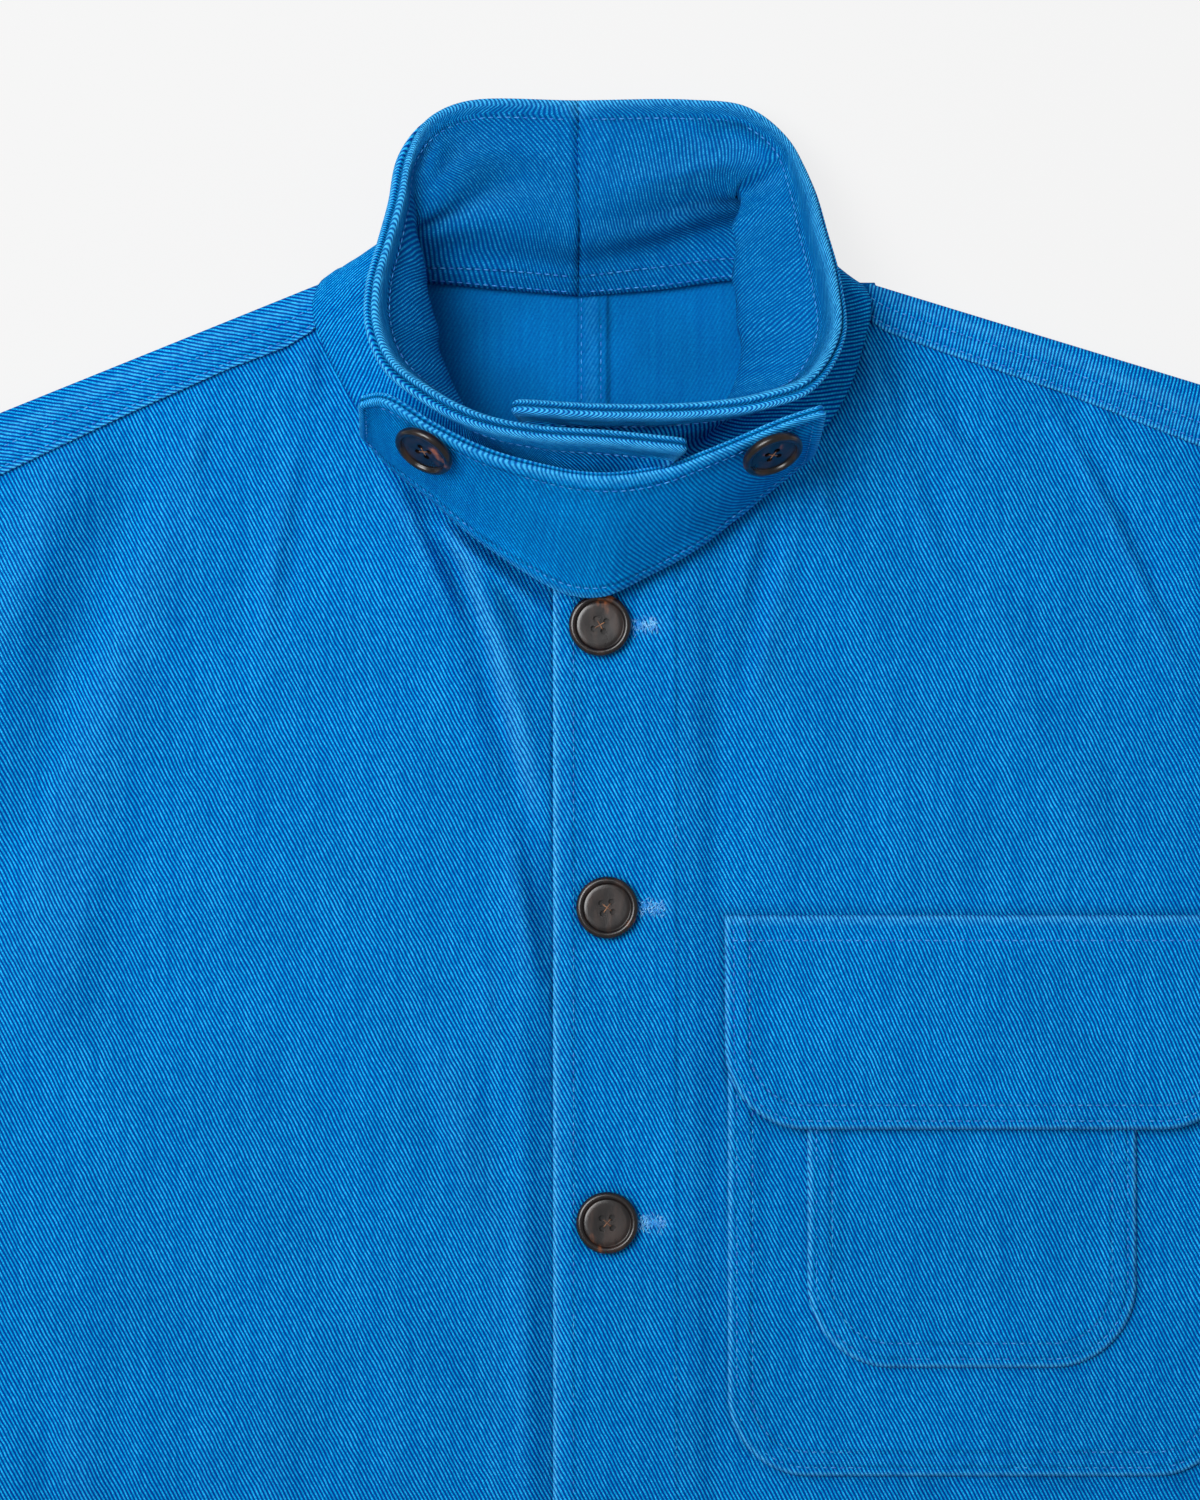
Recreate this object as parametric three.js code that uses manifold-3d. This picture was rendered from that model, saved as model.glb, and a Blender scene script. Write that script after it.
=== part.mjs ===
// Chore coat of heavy twill, laid flat on its back with the stand collar opened and its chin strap buttoned.
// Millimetres, +Z away from the surface it lies on, +Y towards the collar, +X the viewer's right.
// Each panel is a net of points with a wall of cloth under it. Left and right are the viewer's.
import * as THREE from "three";
import { mergeVertices } from "three/addons/utils/BufferGeometryUtils.js";
import Module from "manifold-3d";

const wasm = await Module();
wasm.setup();

const CLOTH = 1.5;            // one ply of heavy twill with its nap
const TWO_PLY = 3;            // collar, strap and flap
const SEAM_GAP = 0.4;         // between pieces that are sewn together
const FULLNESS = 3.3;         // the front stands this much clear of its flat height in the middle
const FULLNESS_REACH = 60;    // and comes down over this width to the side fold
const NECK_LIFT = 3;          // the collar's bulk lifts the fronts round the neck
const NECK_CENTRE_Y = 100;
const NECK_RADIUS = 58;
const NECK_LIFT_REACH = 34;
const LAP_STEP = 2.1;         // the right front lies on the left one
const LAP_INNER = 26;         // the lap is level as far as this
const LAP_FADE = 40;          // and has come down at this
const FRONT_FLAT = 2 * CLOTH + SEAM_GAP;

const HEM_Y = -589;
const SHOULDER = { left: { x: 243, fold: 88, seam: 65 }, right: { x: 240, fold: 103, seam: 78 } };
const NECK_FOLD = { left: { x: 87, y: 151 }, right: { x: 83, y: 151 } };

// Half width of the body from the middle line, a row per height: side seam below the underarm, armhole above it.
const SIDE = [
  { y: HEM_Y, x: 290 }, { y: -520, x: 288 }, { y: -450, x: 286 }, { y: -380, x: 284 },
  { y: -310, x: 283 }, { y: -240, x: 283 }, { y: -190, x: 284 }, { y: -145, x: 286 },
  { y: -128, x: 268 }, { y: -108, x: 251 }, { y: -80, x: 239 }, { y: -48, x: 232 },
  { y: -10, x: 229 }, { y: 30, x: 231 }, { y: 65, x: 237 }, { y: 90, x: 243 },
];
// Where a front ends at the top, a row per distance from the middle line: neckline, then shoulder seam.
const FRONT_TOP = {
  left: [
    { x: -30, y: 53.5 }, { x: 0, y: 53.5 }, { x: 8, y: 54.5 }, { x: 22.4, y: 59 }, { x: 41.5, y: 72 },
    { x: 60.7, y: 91 }, { x: 73.5, y: 107 }, { x: 81.5, y: 119 }, { x: 87.4, y: 131 }, { x: 90.5, y: 142 },
    { x: 193, y: 90 }, { x: 250, y: 61 },
  ],
  right: [
    { x: -30, y: 54.5 }, { x: 0, y: 54.5 }, { x: 19, y: 59.5 }, { x: 42, y: 72 }, { x: 61, y: 90 },
    { x: 75.5, y: 112 }, { x: 81.5, y: 129 }, { x: 86, y: 144.5 }, { x: 193, y: 97.5 }, { x: 250, y: 72 },
  ],
};
// Folds of the fronts that start at the neck and the armholes: a soft ridge, or a trough where lift is below zero.
const FOLDS = [
  { x0: -49, y0: 72, x1: -15.5, y1: -2, lift: 2.2, width: 9 },
  { x0: -40, y0: 60, x1: -20, y1: 4, lift: -1.2, width: 6 },
  { x0: -62, y0: -90, x1: -41, y1: -141, lift: 1, width: 13 },
  { x0: -138, y0: 48, x1: -177, y1: -34, lift: 2.2, width: 15 },
  { x0: -170, y0: -20, x1: -189, y1: -110, lift: 1.8, width: 14 },
  { x0: -196, y0: 40, x1: -214, y1: -60, lift: -1, width: 14 },
  { x0: 92, y0: 136, x1: 148, y1: 102, lift: 2, width: 8 },
  { x0: 103, y0: 125, x1: 160, y1: 92, lift: -1.8, width: 9 },
  { x0: 158, y0: 96, x1: 194, y1: 20, lift: -1.8, width: 11 },
  { x0: 69, y0: 87, x1: 75, y1: 40, lift: 1, width: 7 },
  { x0: 178, y0: 90, x1: 214, y1: 0, lift: 1.6, width: 13 },
  { x0: -120, y0: -330, x1: -96, y1: -560, lift: 1.4, width: 20 },
  { x0: 112, y0: -300, x1: 140, y1: -550, lift: 1.4, width: 22 },
  { x0: -215, y0: -180, x1: -232, y1: -400, lift: 1.2, width: 18 },
  { x0: 226, y0: -170, x1: 214, y1: -420, lift: 1.2, width: 18 },
];

// Collar sections from the centre back round one side to the front end. In each the seam is where it is sewn to the
// neckline, the roll is half way up, where the wall leans furthest over the neck, and the rim is its top edge.
const COLLAR_LEFT = [
  { seam: [-7.1, 146.8, 2.3], roll: [-7.1, 165, 17], rim: [-7.1, 207, 8] },
  { seam: [-32, 148.8, 2.4], roll: [-25.5, 168, 17], rim: [-43, 206.5, 10] },
  { seam: [-56.5, 151.2, 3], roll: [-43, 171, 19], rim: [-56, 201, 16] },
  { seam: [-77, 151.8, 7], roll: [-60, 171, 23], rim: [-62, 190, 26] },
  { seam: [-87.5, 149.5, 10.5], roll: [-60, 164, 27], rim: [-65, 174, 38] },
  { seam: [-91.5, 141.5, 12], roll: [-58, 154, 29], rim: [-68.5, 160, 48] },
  { seam: [-88.5, 131, 11.5], roll: [-56, 144, 31], rim: [-72, 146, 56] },
  { seam: [-82.5, 119, 11.5], roll: [-53, 132, 32], rim: [-72, 133, 61] },
  { seam: [-74.5, 106.5, 11.5], roll: [-50, 121, 34], rim: [-67, 121, 64] },
  { seam: [-61.5, 90.5, 11.5], roll: [-44, 108, 36], rim: [-56, 112, 64] },
  { seam: [-42, 71.5, 12], roll: [-30, 92, 37], rim: [-40, 104, 63] },
  { seam: [-23, 58.5, 13], roll: [-13, 84, 36], rim: [-21, 100, 62] },
  { seam: [-8, 53.5, 14], roll: [-2, 81.5, 35], rim: [2, 98.5, 61] },
  { seam: [2, 52.5, 14], roll: [9, 81, 35], rim: [26, 96.5, 59] },
];
const COLLAR_RIGHT = [
  { seam: [-6.7, 146.8, 2.3], roll: [-6.7, 165, 17], rim: [-6.7, 207, 8] },
  { seam: [20, 148.4, 2.4], roll: [16, 168, 18], rim: [29, 207, 9] },
  { seam: [41, 151.2, 3], roll: [33, 172, 20], rim: [47, 204.5, 11] },
  { seam: [64, 151.8, 6], roll: [44, 174, 22], rim: [60, 195, 18] },
  { seam: [80, 149.5, 9], roll: [44, 164, 24], rim: [67.5, 180, 27] },
  { seam: [86, 143.5, 12], roll: [43, 152, 26], rim: [71.5, 165, 36] },
  { seam: [83.5, 129, 12], roll: [44, 140, 28], rim: [75.5, 147, 47] },
  { seam: [77, 112, 11.5], roll: [46, 127, 30], rim: [76, 130, 54] },
  { seam: [62, 93, 11.5], roll: [42, 112, 31], rim: [67, 115.5, 57] },
  { seam: [43, 77, 12], roll: [32, 100, 31], rim: [52, 110, 57] },
  { seam: [22, 67, 13], roll: [17, 93.5, 31], rim: [34, 107.5, 56] },
  { seam: [10, 64, 14], roll: [3, 92, 31], rim: [4, 107, 54] },
  { seam: [6, 63, 14], roll: [-9, 92, 31], rim: [-24, 108.5, 52] },
];
const RIM_THICKNESS = 5.6;
const RIM_STARTS = 0.88;      // the share of the collar's height where its turned edge begins

// Chin strap from its left end to its right end, upper edge and lower edge.
const STRAP = [
  { upper: [-76, 110, 51], lower: [-75.5, 101, 24] },
  { upper: [-68, 111, 54], lower: [-66, 91, 18] },
  { upper: [-52.5, 102, 54.5], lower: [-54, 81.5, 16.5] },
  { upper: [-37, 94.5, 54.5], lower: [-41, 70, 17] },
  { upper: [-20, 89.6, 53.5], lower: [-25, 58.5, 18] },
  { upper: [-6, 87, 52.5], lower: [-10, 50.3, 20] },
  { upper: [8, 86.6, 52.5], lower: [0, 49.6, 20.2] },
  { upper: [20, 88.5, 52.5], lower: [14, 56, 18] },
  { upper: [32, 92.8, 53.5], lower: [27, 63, 17] },
  { upper: [44, 97.6, 54.5], lower: [40, 72.5, 16.5] },
  { upper: [57, 103, 55.5], lower: [54, 84, 17.5] },
  { upper: [71, 107.5, 55.5], lower: [67.5, 95, 22] },
];

// Pieces on the right front: edges and lower corner radius in millimetres, lift above the cloth they lie on.
const POCKET = { x0: 41, x1: 204, top: -64, bottom: -233, corner: 26, ply: CLOTH, drop: 0.7 };
const PATCH = { x0: 66.5, x1: 172, top: -92, bottom: -198, corner: 27, ply: CLOTH, drop: 0.5 };
const FLAP = { x0: 40, x1: 206, top: -53, bottom: -121.5, corner: 26, ply: 2.4, drop: 0.4 };
const FLAP_KICK = 1.6;        // the flap's free edge stands off the pocket
const FLAP_CLIMB = 4;         // the width over which it climbs onto the pocket's top edge

const BUTTON = { radius: 10, height: 3.6, holeRadius: 0.95, holeAt: 1.75 };
const FRONT_BUTTONS = [
  { x: 0, y: 40 }, { x: 2.3, y: -50.5 }, { x: 2.3, y: -151.5 },
  { x: 2, y: -252.5 }, { x: 2, y: -353.5 }, { x: 2, y: -454.5 },
];
const STRAP_BUTTONS = [
  { side: "left", along: 0.178, height: 0.8 },
  { side: "right", along: 0.885, height: 0.8 },
];

// Sleeve outlines from shoulder to cuff, a row per section: the fold on the outer arm and the fold on the inner arm.
const SLEEVE_ANGLE = THREE.MathUtils.degToRad(60);
const SLEEVE_LENGTH = 620;
const CUFF_WIDTH = 145;
const SLEEVE_RISE = 3.2;
const SLEEVE_FOLDS = [
  { at: 0.3, lift: 1.3, width: 0.05 }, { at: 0.42, lift: -0.9, width: 0.04 },
  { at: 0.55, lift: 1.5, width: 0.05 }, { at: 0.83, lift: 1.1, width: 0.04 },
];

const BLUE = 0x0a62b4;
const HORN = 0x2e211c;

const { lerp, smoothstep } = THREE.MathUtils;
const point = (x, y, z) => new THREE.Vector3(x, y, z);

function readTable(rows, key, at, value) {
  let i = 1;
  while (i < rows.length - 1 && rows[i][key] < at) i++;
  const a = rows[i - 1], b = rows[i];
  return lerp(a[value], b[value], (at - a[key]) / (b[key] - a[key]));
}

// Joins an upper net of points and a lower one into a closed solid.
function wallBetween(upper, lower) {
  const rows = upper.length, cols = upper[0].length, positions = [], index = [];
  for (const net of [upper, lower]) for (const row of net) for (const p of row) positions.push(p.x, p.y, p.z);
  const id = (side, r, c) => side * rows * cols + r * cols + c;
  const quad = (a, b, c, d) => index.push(a, b, c, a, c, d);
  for (let r = 0; r < rows - 1; r++) {
    for (let c = 0; c < cols - 1; c++) {
      quad(id(0, r, c), id(0, r, c + 1), id(0, r + 1, c + 1), id(0, r + 1, c));
      quad(id(1, r, c), id(1, r + 1, c), id(1, r + 1, c + 1), id(1, r, c + 1));
    }
    quad(id(0, r, 0), id(0, r + 1, 0), id(1, r + 1, 0), id(1, r, 0));
    quad(id(0, r + 1, cols - 1), id(0, r, cols - 1), id(1, r, cols - 1), id(1, r + 1, cols - 1));
  }
  for (let c = 0; c < cols - 1; c++) {
    quad(id(0, 0, c + 1), id(0, 0, c), id(1, 0, c), id(1, 0, c + 1));
    quad(id(0, rows - 1, c), id(0, rows - 1, c + 1), id(1, rows - 1, c + 1), id(1, rows - 1, c));
  }
  const geometry = new THREE.BufferGeometry();
  geometry.setAttribute("position", new THREE.Float32BufferAttribute(positions, 3));
  geometry.setIndex(index);
  return facingOut(geometry);
}

function facingOut(geometry) {
  const p = geometry.attributes.position, index = geometry.index.array;
  const at = (i) => new THREE.Vector3().fromBufferAttribute(p, index[i]);
  let volume = 0;
  for (let i = 0; i < index.length; i += 3) volume += at(i).dot(at(i + 1).cross(at(i + 2)));
  if (volume < 0) for (let i = 0; i < index.length; i += 3) [index[i], index[i + 1]] = [index[i + 1], index[i]];
  return geometry;
}

function normalsOf(net) {
  const rows = net.length, cols = net[0].length;
  return net.map((row, r) => row.map((_, c) => {
    const across = net[r][Math.min(c + 1, cols - 1)].clone().sub(net[r][Math.max(c - 1, 0)]);
    const up = net[Math.min(r + 1, rows - 1)][c].clone().sub(net[Math.max(r - 1, 0)][c]);
    return across.cross(up).normalize();
  }));
}

// A wall of cloth of the given thickness with the net half way through it.
function clothOn(net, thickness) {
  const normals = normalsOf(net);
  const moved = (side) => net.map((row, r) => row.map((p, c) =>
    p.clone().addScaledVector(normals[r][c], (side * thickness(r, c)) / 2)));
  return wallBetween(moved(1), moved(-1));
}

const dropped = (net, by) => net.map((row) => row.map((p) => point(p.x, p.y, p.z - by)));
const spread = (count) => Array.from({ length: count + 1 }, (_, i) => i / count);

function toSolid(geometry) {
  const bare = geometry.clone();
  for (const name of Object.keys(bare.attributes)) if (name !== "position") bare.deleteAttribute(name);
  const merged = mergeVertices(bare, 1e-4);
  return new wasm.Manifold(new wasm.Mesh({
    numProp: 3,
    vertProperties: new Float32Array(merged.attributes.position.array),
    triVerts: new Uint32Array(merged.index.array),
  }));
}

function toGeometry(solid) {
  const mesh = solid.getMesh();
  const geometry = new THREE.BufferGeometry();
  geometry.setAttribute("position", new THREE.Float32BufferAttribute(mesh.vertProperties, mesh.numProp));
  geometry.setIndex(Array.from(mesh.triVerts));
  return geometry;
}

// Height of the fronts' outer face above the surface the coat lies on.
function foldLift(x, y) {
  let lift = 0;
  for (const f of FOLDS) {
    const dx = f.x1 - f.x0, dy = f.y1 - f.y0, length = Math.hypot(dx, dy);
    const t = ((x - f.x0) * dx + (y - f.y0) * dy) / length ** 2;
    if (t <= 0 || t >= 1) continue;
    const off = ((x - f.x0) * dy - (y - f.y0) * dx) / length / f.width;
    lift += f.lift * Math.sin(Math.PI * t) ** 2 * Math.exp(-off * off);
  }
  return lift;
}

function frontHeight(x, y) {
  const inFromSide = readTable(SIDE, "y", y, "x") - Math.abs(x);
  const open = smoothstep(inFromSide, 0, FULLNESS_REACH);
  const fromNeck = Math.max(Math.hypot(x, y - NECK_CENTRE_Y) - NECK_RADIUS, 0) / NECK_LIFT_REACH;
  return FRONT_FLAT + open * (FULLNESS + foldLift(x, y)) + NECK_LIFT * Math.exp(-fromNeck * fromNeck);
}

const rightHeight = (x, y) => frontHeight(x, y) + LAP_STEP * (1 - smoothstep(x, LAP_INNER, LAP_FADE));

// Columns of a front from its closing edge to its side, and rows by their height at the side.
const FRONT_COLUMNS = [0, 0.055, 0.11, 0.165, 0.22, 0.27, 0.31, 0.345, 0.375, 0.4, 0.431, 0.46, 0.5,
  0.545, 0.59, 0.64, 0.69, 0.75, 0.81, 0.87, 0.93, 1];
const FRONT_ROWS = [HEM_Y, -520, -450, -380, -310, -270, -240, -215, -190, -167, -145, -128, -108, -94, -80, -64,
  -48, -34, -20, -10, 5, 18, 30, 42, 54, 65];

function frontNet(side, sign, closing, height) {
  const top = FRONT_TOP[side], bodyTop = readTable(top, "x", SHOULDER[side].x, "y");
  return FRONT_ROWS.map((rowY) => {
    const v = (rowY - HEM_Y) / (FRONT_ROWS.at(-1) - HEM_Y);
    return FRONT_COLUMNS.map((u) => {
      const topX = lerp(closing, SHOULDER[side].x, u);
      const topY = readTable(top, "x", topX, "y");
      const sideY = lerp(HEM_Y, bodyTop, v);
      const y = lerp(sideY, lerp(HEM_Y, topY, v), smoothstep(1 - u, 0, 0.12));
      const x = lerp(closing, readTable(SIDE, "y", sideY, "x"), u);
      const blend = smoothstep(v, 0.75, 1);
      const px = sign * lerp(x, topX, blend * (1 - smoothstep(u, 0.9, 1)));
      return point(px, y, height(px, y));
    });
  });
}

function front(side, sign, closing, height) {
  const net = frontNet(side, sign, closing, height);
  return wallBetween(net, dropped(net, CLOTH));
}

// The back lies flat. Its shoulder runs over a fold and forward to the shoulder seam.
const BACK_COLUMNS = [0, 0.12, 0.24, 0.345, 0.4, 0.5, 0.6, 0.7, 0.8, 0.9, 1];
const CENTRE_BACK = -6.9;
const BACK_NECK = { low: 146.1, dip: 4.3, reach: 56 };
const SHOULDER_BACK = 5;      // the flat part of the back ends this far short of the shoulder fold
const SHOULDER_TOP = 7.4;     // height of the shoulder's upper face at the fold

function shoulderFold(side, x) {
  const neck = NECK_FOLD[side], end = SHOULDER[side];
  return lerp(neck.y, end.fold, (x - neck.x) / (end.x - neck.x));
}

function shoulderSeam(side, x) {
  return readTable(FRONT_TOP[side], "x", x, "y") + SEAM_GAP;
}

function backTop(side, x) {
  if (x > NECK_FOLD[side].x + SHOULDER_BACK) return shoulderFold(side, x) - SHOULDER_BACK;
  return BACK_NECK.low + BACK_NECK.dip * smoothstep(Math.abs(x), 0, BACK_NECK.reach);
}

function back(side, sign) {
  const start = sign * CENTRE_BACK + SEAM_GAP / 2;
  const net = SIDE.map((row) => {
    const v = (row.y - HEM_Y) / (SIDE.at(-1).y - HEM_Y);
    return BACK_COLUMNS.map((u) => {
      const topY = backTop(side, lerp(start, SHOULDER[side].x, u));
      const x = lerp(start, row.x, u);
      return point(sign * x, lerp(row.y, lerp(HEM_Y, topY, v), smoothstep(1 - u, 0, 0.15)), CLOTH);
    });
  });
  const flat = toSolid(wallBetween(net, dropped(net, CLOTH)));
  return toGeometry(flat.add(toSolid(shoulderStrip(side, sign))));
}

// Section over the shoulder: how far back from the fold, or the share of the way from there to the seam, and height.
const SHOULDER_SECTION = [
  { behind: 12, z: 0 }, { behind: 4, z: 0 }, { behind: 1.4, z: 0.7 }, { behind: 0, z: 2.6 },
  { behind: 0, z: SHOULDER_TOP - 2.6 }, { behind: 1.6, z: SHOULDER_TOP - 0.6 }, { behind: 4, z: SHOULDER_TOP },
];

function shoulderStrip(side, sign) {
  const neck = NECK_FOLD[side], end = SHOULDER[side];
  const outer = [], inner = [];
  const start = neck.x + 4, seamEnd = readTable(SIDE, "y", end.seam, "x");
  for (const t of spread(12)) {
    const foldX = lerp(start, end.x, t), seamX = lerp(start, seamEnd, t);
    const fold = shoulderFold(side, foldX), seam = shoulderSeam(side, seamX);
    const section = SHOULDER_SECTION.map((s) => {
      const y = fold - s.behind;
      return point(lerp(start, Math.min(end.x, readTable(SIDE, "y", y, "x")), t), y, s.z);
    });
    section.push(point(seamX, Math.min(seam, fold - 5), Math.max(frontHeight(sign * seamX, seam), 5)));
    const rowOut = [], rowIn = [];
    section.forEach((p, i) => {
      const before = section[Math.max(i - 1, 0)], after = section[Math.min(i + 1, section.length - 1)];
      const along = after.clone().sub(before).setX(0).normalize();
      rowOut.push(point(sign * p.x, p.y, p.z));
      rowIn.push(point(sign * p.x, p.y - along.z * CLOTH, p.z + along.y * CLOTH));
    });
    outer.push(rowOut);
    inner.push(rowIn);
  }
  return wallBetween(outer, inner);
}

// A sleeve lies flat: an under piece on the surface and an upper piece that arches over it.
const SLEEVE_ACROSS = [0, 0.05, 0.14, 0.28, 0.45, 0.62, 0.78, 0.9, 0.96, 1];
const SLEEVE_DOWN = spread(14);

function sleeveNet(side, sign, height) {
  const start = SHOULDER[side], fold = { x: start.x + 1.2, y: start.fold - 4 };
  const armhole = SIDE.filter((row) => row.y >= -145);
  const down = point(Math.cos(SLEEVE_ANGLE), -Math.sin(SLEEVE_ANGLE), 0);
  const inward = point(-down.y, down.x, 0).negate();
  const cuffOuter = point(fold.x, fold.y, 0).addScaledVector(down, SLEEVE_LENGTH);
  return SLEEVE_DOWN.map((t) => SLEEVE_ACROSS.map((u) => {
    const armY = lerp(fold.y, armhole[0].y, u);
    const head = point(readTable(armhole, "y", armY, "x") + 1.2, armY, 0);
    const cuff = cuffOuter.clone().addScaledVector(inward, CUFF_WIDTH * u);
    const p = head.lerp(cuff, t);
    const crown = 16 * Math.sin(Math.PI * Math.min(t * 2.2, 1)) * (1 - u) ** 2;
    p.x += crown * Math.sin(SLEEVE_ANGLE);
    p.y += crown * Math.cos(SLEEVE_ANGLE);
    return point(sign * p.x, p.y, height(t, u));
  }));
}

function sleeveUpper(side, sign) {
  const arch = (u) => Math.sqrt(Math.max(1 - (2 * u - 1) ** 4, 0));
  const net = sleeveNet(side, sign, (t, u) => {
    let z = FRONT_FLAT + SLEEVE_RISE * arch(u);
    for (const f of SLEEVE_FOLDS) {
      const off = (t + 0.06 * (u - 0.5) - f.at) / f.width;
      z += f.lift * arch(u) * Math.exp(-off * off) * (1 - 0.6 * u);
    }
    return z;
  });
  return wallBetween(net, dropped(net, CLOTH));
}

function sleeveUnder(side, sign) {
  const net = sleeveNet(side, sign, () => CLOTH);
  return wallBetween(net, dropped(net, CLOTH));
}

// Collar halves: sections with a smooth curve through seam, roll and rim, joined smoothly one after another.
const COLLAR_HEIGHTS = [0, 0.17, 0.34, 0.5, 0.65, 0.78, 0.88, 0.95, 1];
const COLLAR_STEPS = spread(24);

function smoothLine(points) {
  return new THREE.CatmullRomCurve3(points.map((p) => point(...p)), false, "centripetal");
}

function collarNet(sections) {
  const lines = ["seam", "roll", "rim"].map((key) => smoothLine(sections.map((s) => s[key])));
  return COLLAR_STEPS.map((t) => {
    const section = new THREE.CatmullRomCurve3(lines.map((line) => line.getPoint(t)), false, "centripetal");
    return COLLAR_HEIGHTS.map((h) => section.getPoint(h));
  });
}

function collar(sections) {
  const rimThickness = (h) => lerp(TWO_PLY, RIM_THICKNESS, smoothstep(h, RIM_STARTS - 0.05, RIM_STARTS + 0.05));
  return clothOn(collarNet(sections), (r, c) => rimThickness(COLLAR_HEIGHTS[c]) * (c === COLLAR_HEIGHTS.length - 1 ? 0.7 : 1));
}

const STRAP_STEPS = spread(26);
const STRAP_HEIGHTS = spread(6);
const STRAP_BELLY = 1.6;

const strapLower = smoothLine(STRAP.map((s) => s.lower));
const strapUpper = smoothLine(STRAP.map((s) => s.upper));

function strapPoint(t, h) {
  const p = strapLower.getPoint(t).lerp(strapUpper.getPoint(t), h);
  p.y -= STRAP_BELLY * Math.sin(Math.PI * h);
  return p;
}

const strapNet = () => STRAP_STEPS.map((t) => STRAP_HEIGHTS.map((h) => strapPoint(t, h)));

// A piece laid on a panel, with straight top and sides and round lower corners.
const PIECE_ROWS = spread(7);
const CORNER_STEPS = [18, 36, 54, 72, 90];

function laidPiece(piece, height, columns) {
  const { x0, x1, top, bottom, corner } = piece;
  const rows = PIECE_ROWS.map((v) => ({ y: lerp(top, bottom + corner, v), inset: 0 }));
  for (const step of CORNER_STEPS) {
    const a = THREE.MathUtils.degToRad(step);
    rows.push({ y: bottom + corner * (1 - Math.sin(a)), inset: corner * (1 - Math.cos(a)) });
  }
  const net = rows.map((row) => spread(columns).map((u) => {
    const x = lerp(x0 + row.inset, x1 - row.inset, u);
    return point(x, row.y, height(x, row.y) + piece.drop + piece.ply);
  }));
  return wallBetween(net, dropped(net, piece.ply));
}

const pocketHeight = (x, y) => rightHeight(x, y) + POCKET.drop + POCKET.ply;
const patchHeight = (x, y) => pocketHeight(x, y) + PATCH.drop + PATCH.ply;
// The flap is sewn down above the pocket, climbs over the pocket and its patch, and stands off them lower down.
function flapSeat(x, y) {
  const overPocket = smoothstep(-y, -POCKET.top - 2 * FLAP_CLIMB, -POCKET.top - FLAP_CLIMB / 2);
  const overPatch = smoothstep(-y, -PATCH.top - 4 * FLAP_CLIMB, -PATCH.top);
  return rightHeight(x, y) + overPocket * (POCKET.drop + POCKET.ply) + overPatch * (PATCH.drop + PATCH.ply)
    + FLAP_KICK * smoothstep(-y, -POCKET.top, -FLAP.bottom);
}

// A four-hole horn button with a raised rim and a dished middle, standing on its back.
const BUTTON_PROFILE = [
  { r: 0, z: 0 }, { r: 0.72, z: 0 }, { r: 0.95, z: 0.3 }, { r: 1, z: 0.58 }, { r: 0.96, z: 0.88 },
  { r: 0.86, z: 1 }, { r: 0.75, z: 0.9 }, { r: 0.66, z: 0.66 }, { r: 0, z: 0.6 },
];
const BUTTON_SEGMENTS = 24;

function makeButton() {
  const outline = BUTTON_PROFILE.map((p) => new THREE.Vector2(p.r * BUTTON.radius, p.z * BUTTON.height));
  const body = new THREE.LatheGeometry(outline, BUTTON_SEGMENTS).rotateX(Math.PI / 2);
  let solid = toSolid(facingOut(body));
  for (const [sx, sy] of [[1, 1], [1, -1], [-1, 1], [-1, -1]]) {
    const hole = wasm.Manifold.cylinder(3 * BUTTON.height, BUTTON.holeRadius, BUTTON.holeRadius, 8, true);
    solid = solid.subtract(hole.translate([sx * BUTTON.holeAt, sy * BUTTON.holeAt, 0]));
  }
  return toGeometry(solid);
}

const coat = new THREE.Group();

function add(name, geometry, colour = BLUE, roughness = 0.9) {
  const mesh = new THREE.Mesh(geometry, new THREE.MeshStandardMaterial({ color: colour, roughness, metalness: 0 }));
  mesh.name = name;
  coat.add(mesh);
  return mesh;
}

add("back_left", back("left", -1));
add("back_right", back("right", 1));
add("front_left", front("left", -1, -25, frontHeight));
add("front_right", front("right", 1, -15.1, rightHeight));
for (const [side, sign] of [["left", -1], ["right", 1]]) {
  add("sleeve_under_" + side, sleeveUnder(side, sign));
  add("sleeve_upper_" + side, sleeveUpper(side, sign));
}
add("collar_left", collar(COLLAR_LEFT));
add("collar_right", collar(COLLAR_RIGHT));
add("chin_strap", clothOn(strapNet(), () => TWO_PLY));
add("chest_pocket", laidPiece(POCKET, rightHeight, 13));
add("pocket_patch", laidPiece(PATCH, pocketHeight, 9));
add("pocket_flap", laidPiece(FLAP, flapSeat, 13));

const button = makeButton();
FRONT_BUTTONS.forEach((at, i) => {
  const seat = Math.max(...[0, 60, 120, 180, 240, 300].map((deg) => {
    const a = THREE.MathUtils.degToRad(deg);
    return rightHeight(at.x + BUTTON.radius * Math.cos(a), at.y + BUTTON.radius * Math.sin(a));
  }));
  add("button_front_" + (i + 1), button.clone(), HORN, 0.35).position.set(at.x, at.y, seat + SEAM_GAP);
});
for (const { side, along, height } of STRAP_BUTTONS) {
  const reach = 0.06;
  const across = strapPoint(along + reach, height).sub(strapPoint(along - reach, height));
  const out = across.cross(strapPoint(along, height + reach).sub(strapPoint(along, height - reach))).normalize();
  const mesh = add("button_strap_" + side, button.clone(), HORN, 0.35);
  mesh.position.copy(strapPoint(along, height)).addScaledVector(out, TWO_PLY / 2 + 2 * SEAM_GAP);
  mesh.quaternion.setFromUnitVectors(point(0, 0, 1), out);
}

const box = new THREE.Box3().setFromObject(coat);
coat.position.set(-(box.min.x + box.max.x) / 2, -(box.min.y + box.max.y) / 2, -box.min.z);

export default coat;
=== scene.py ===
import math

import bpy
import numpy as np
from mathutils import Matrix, Vector


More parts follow.
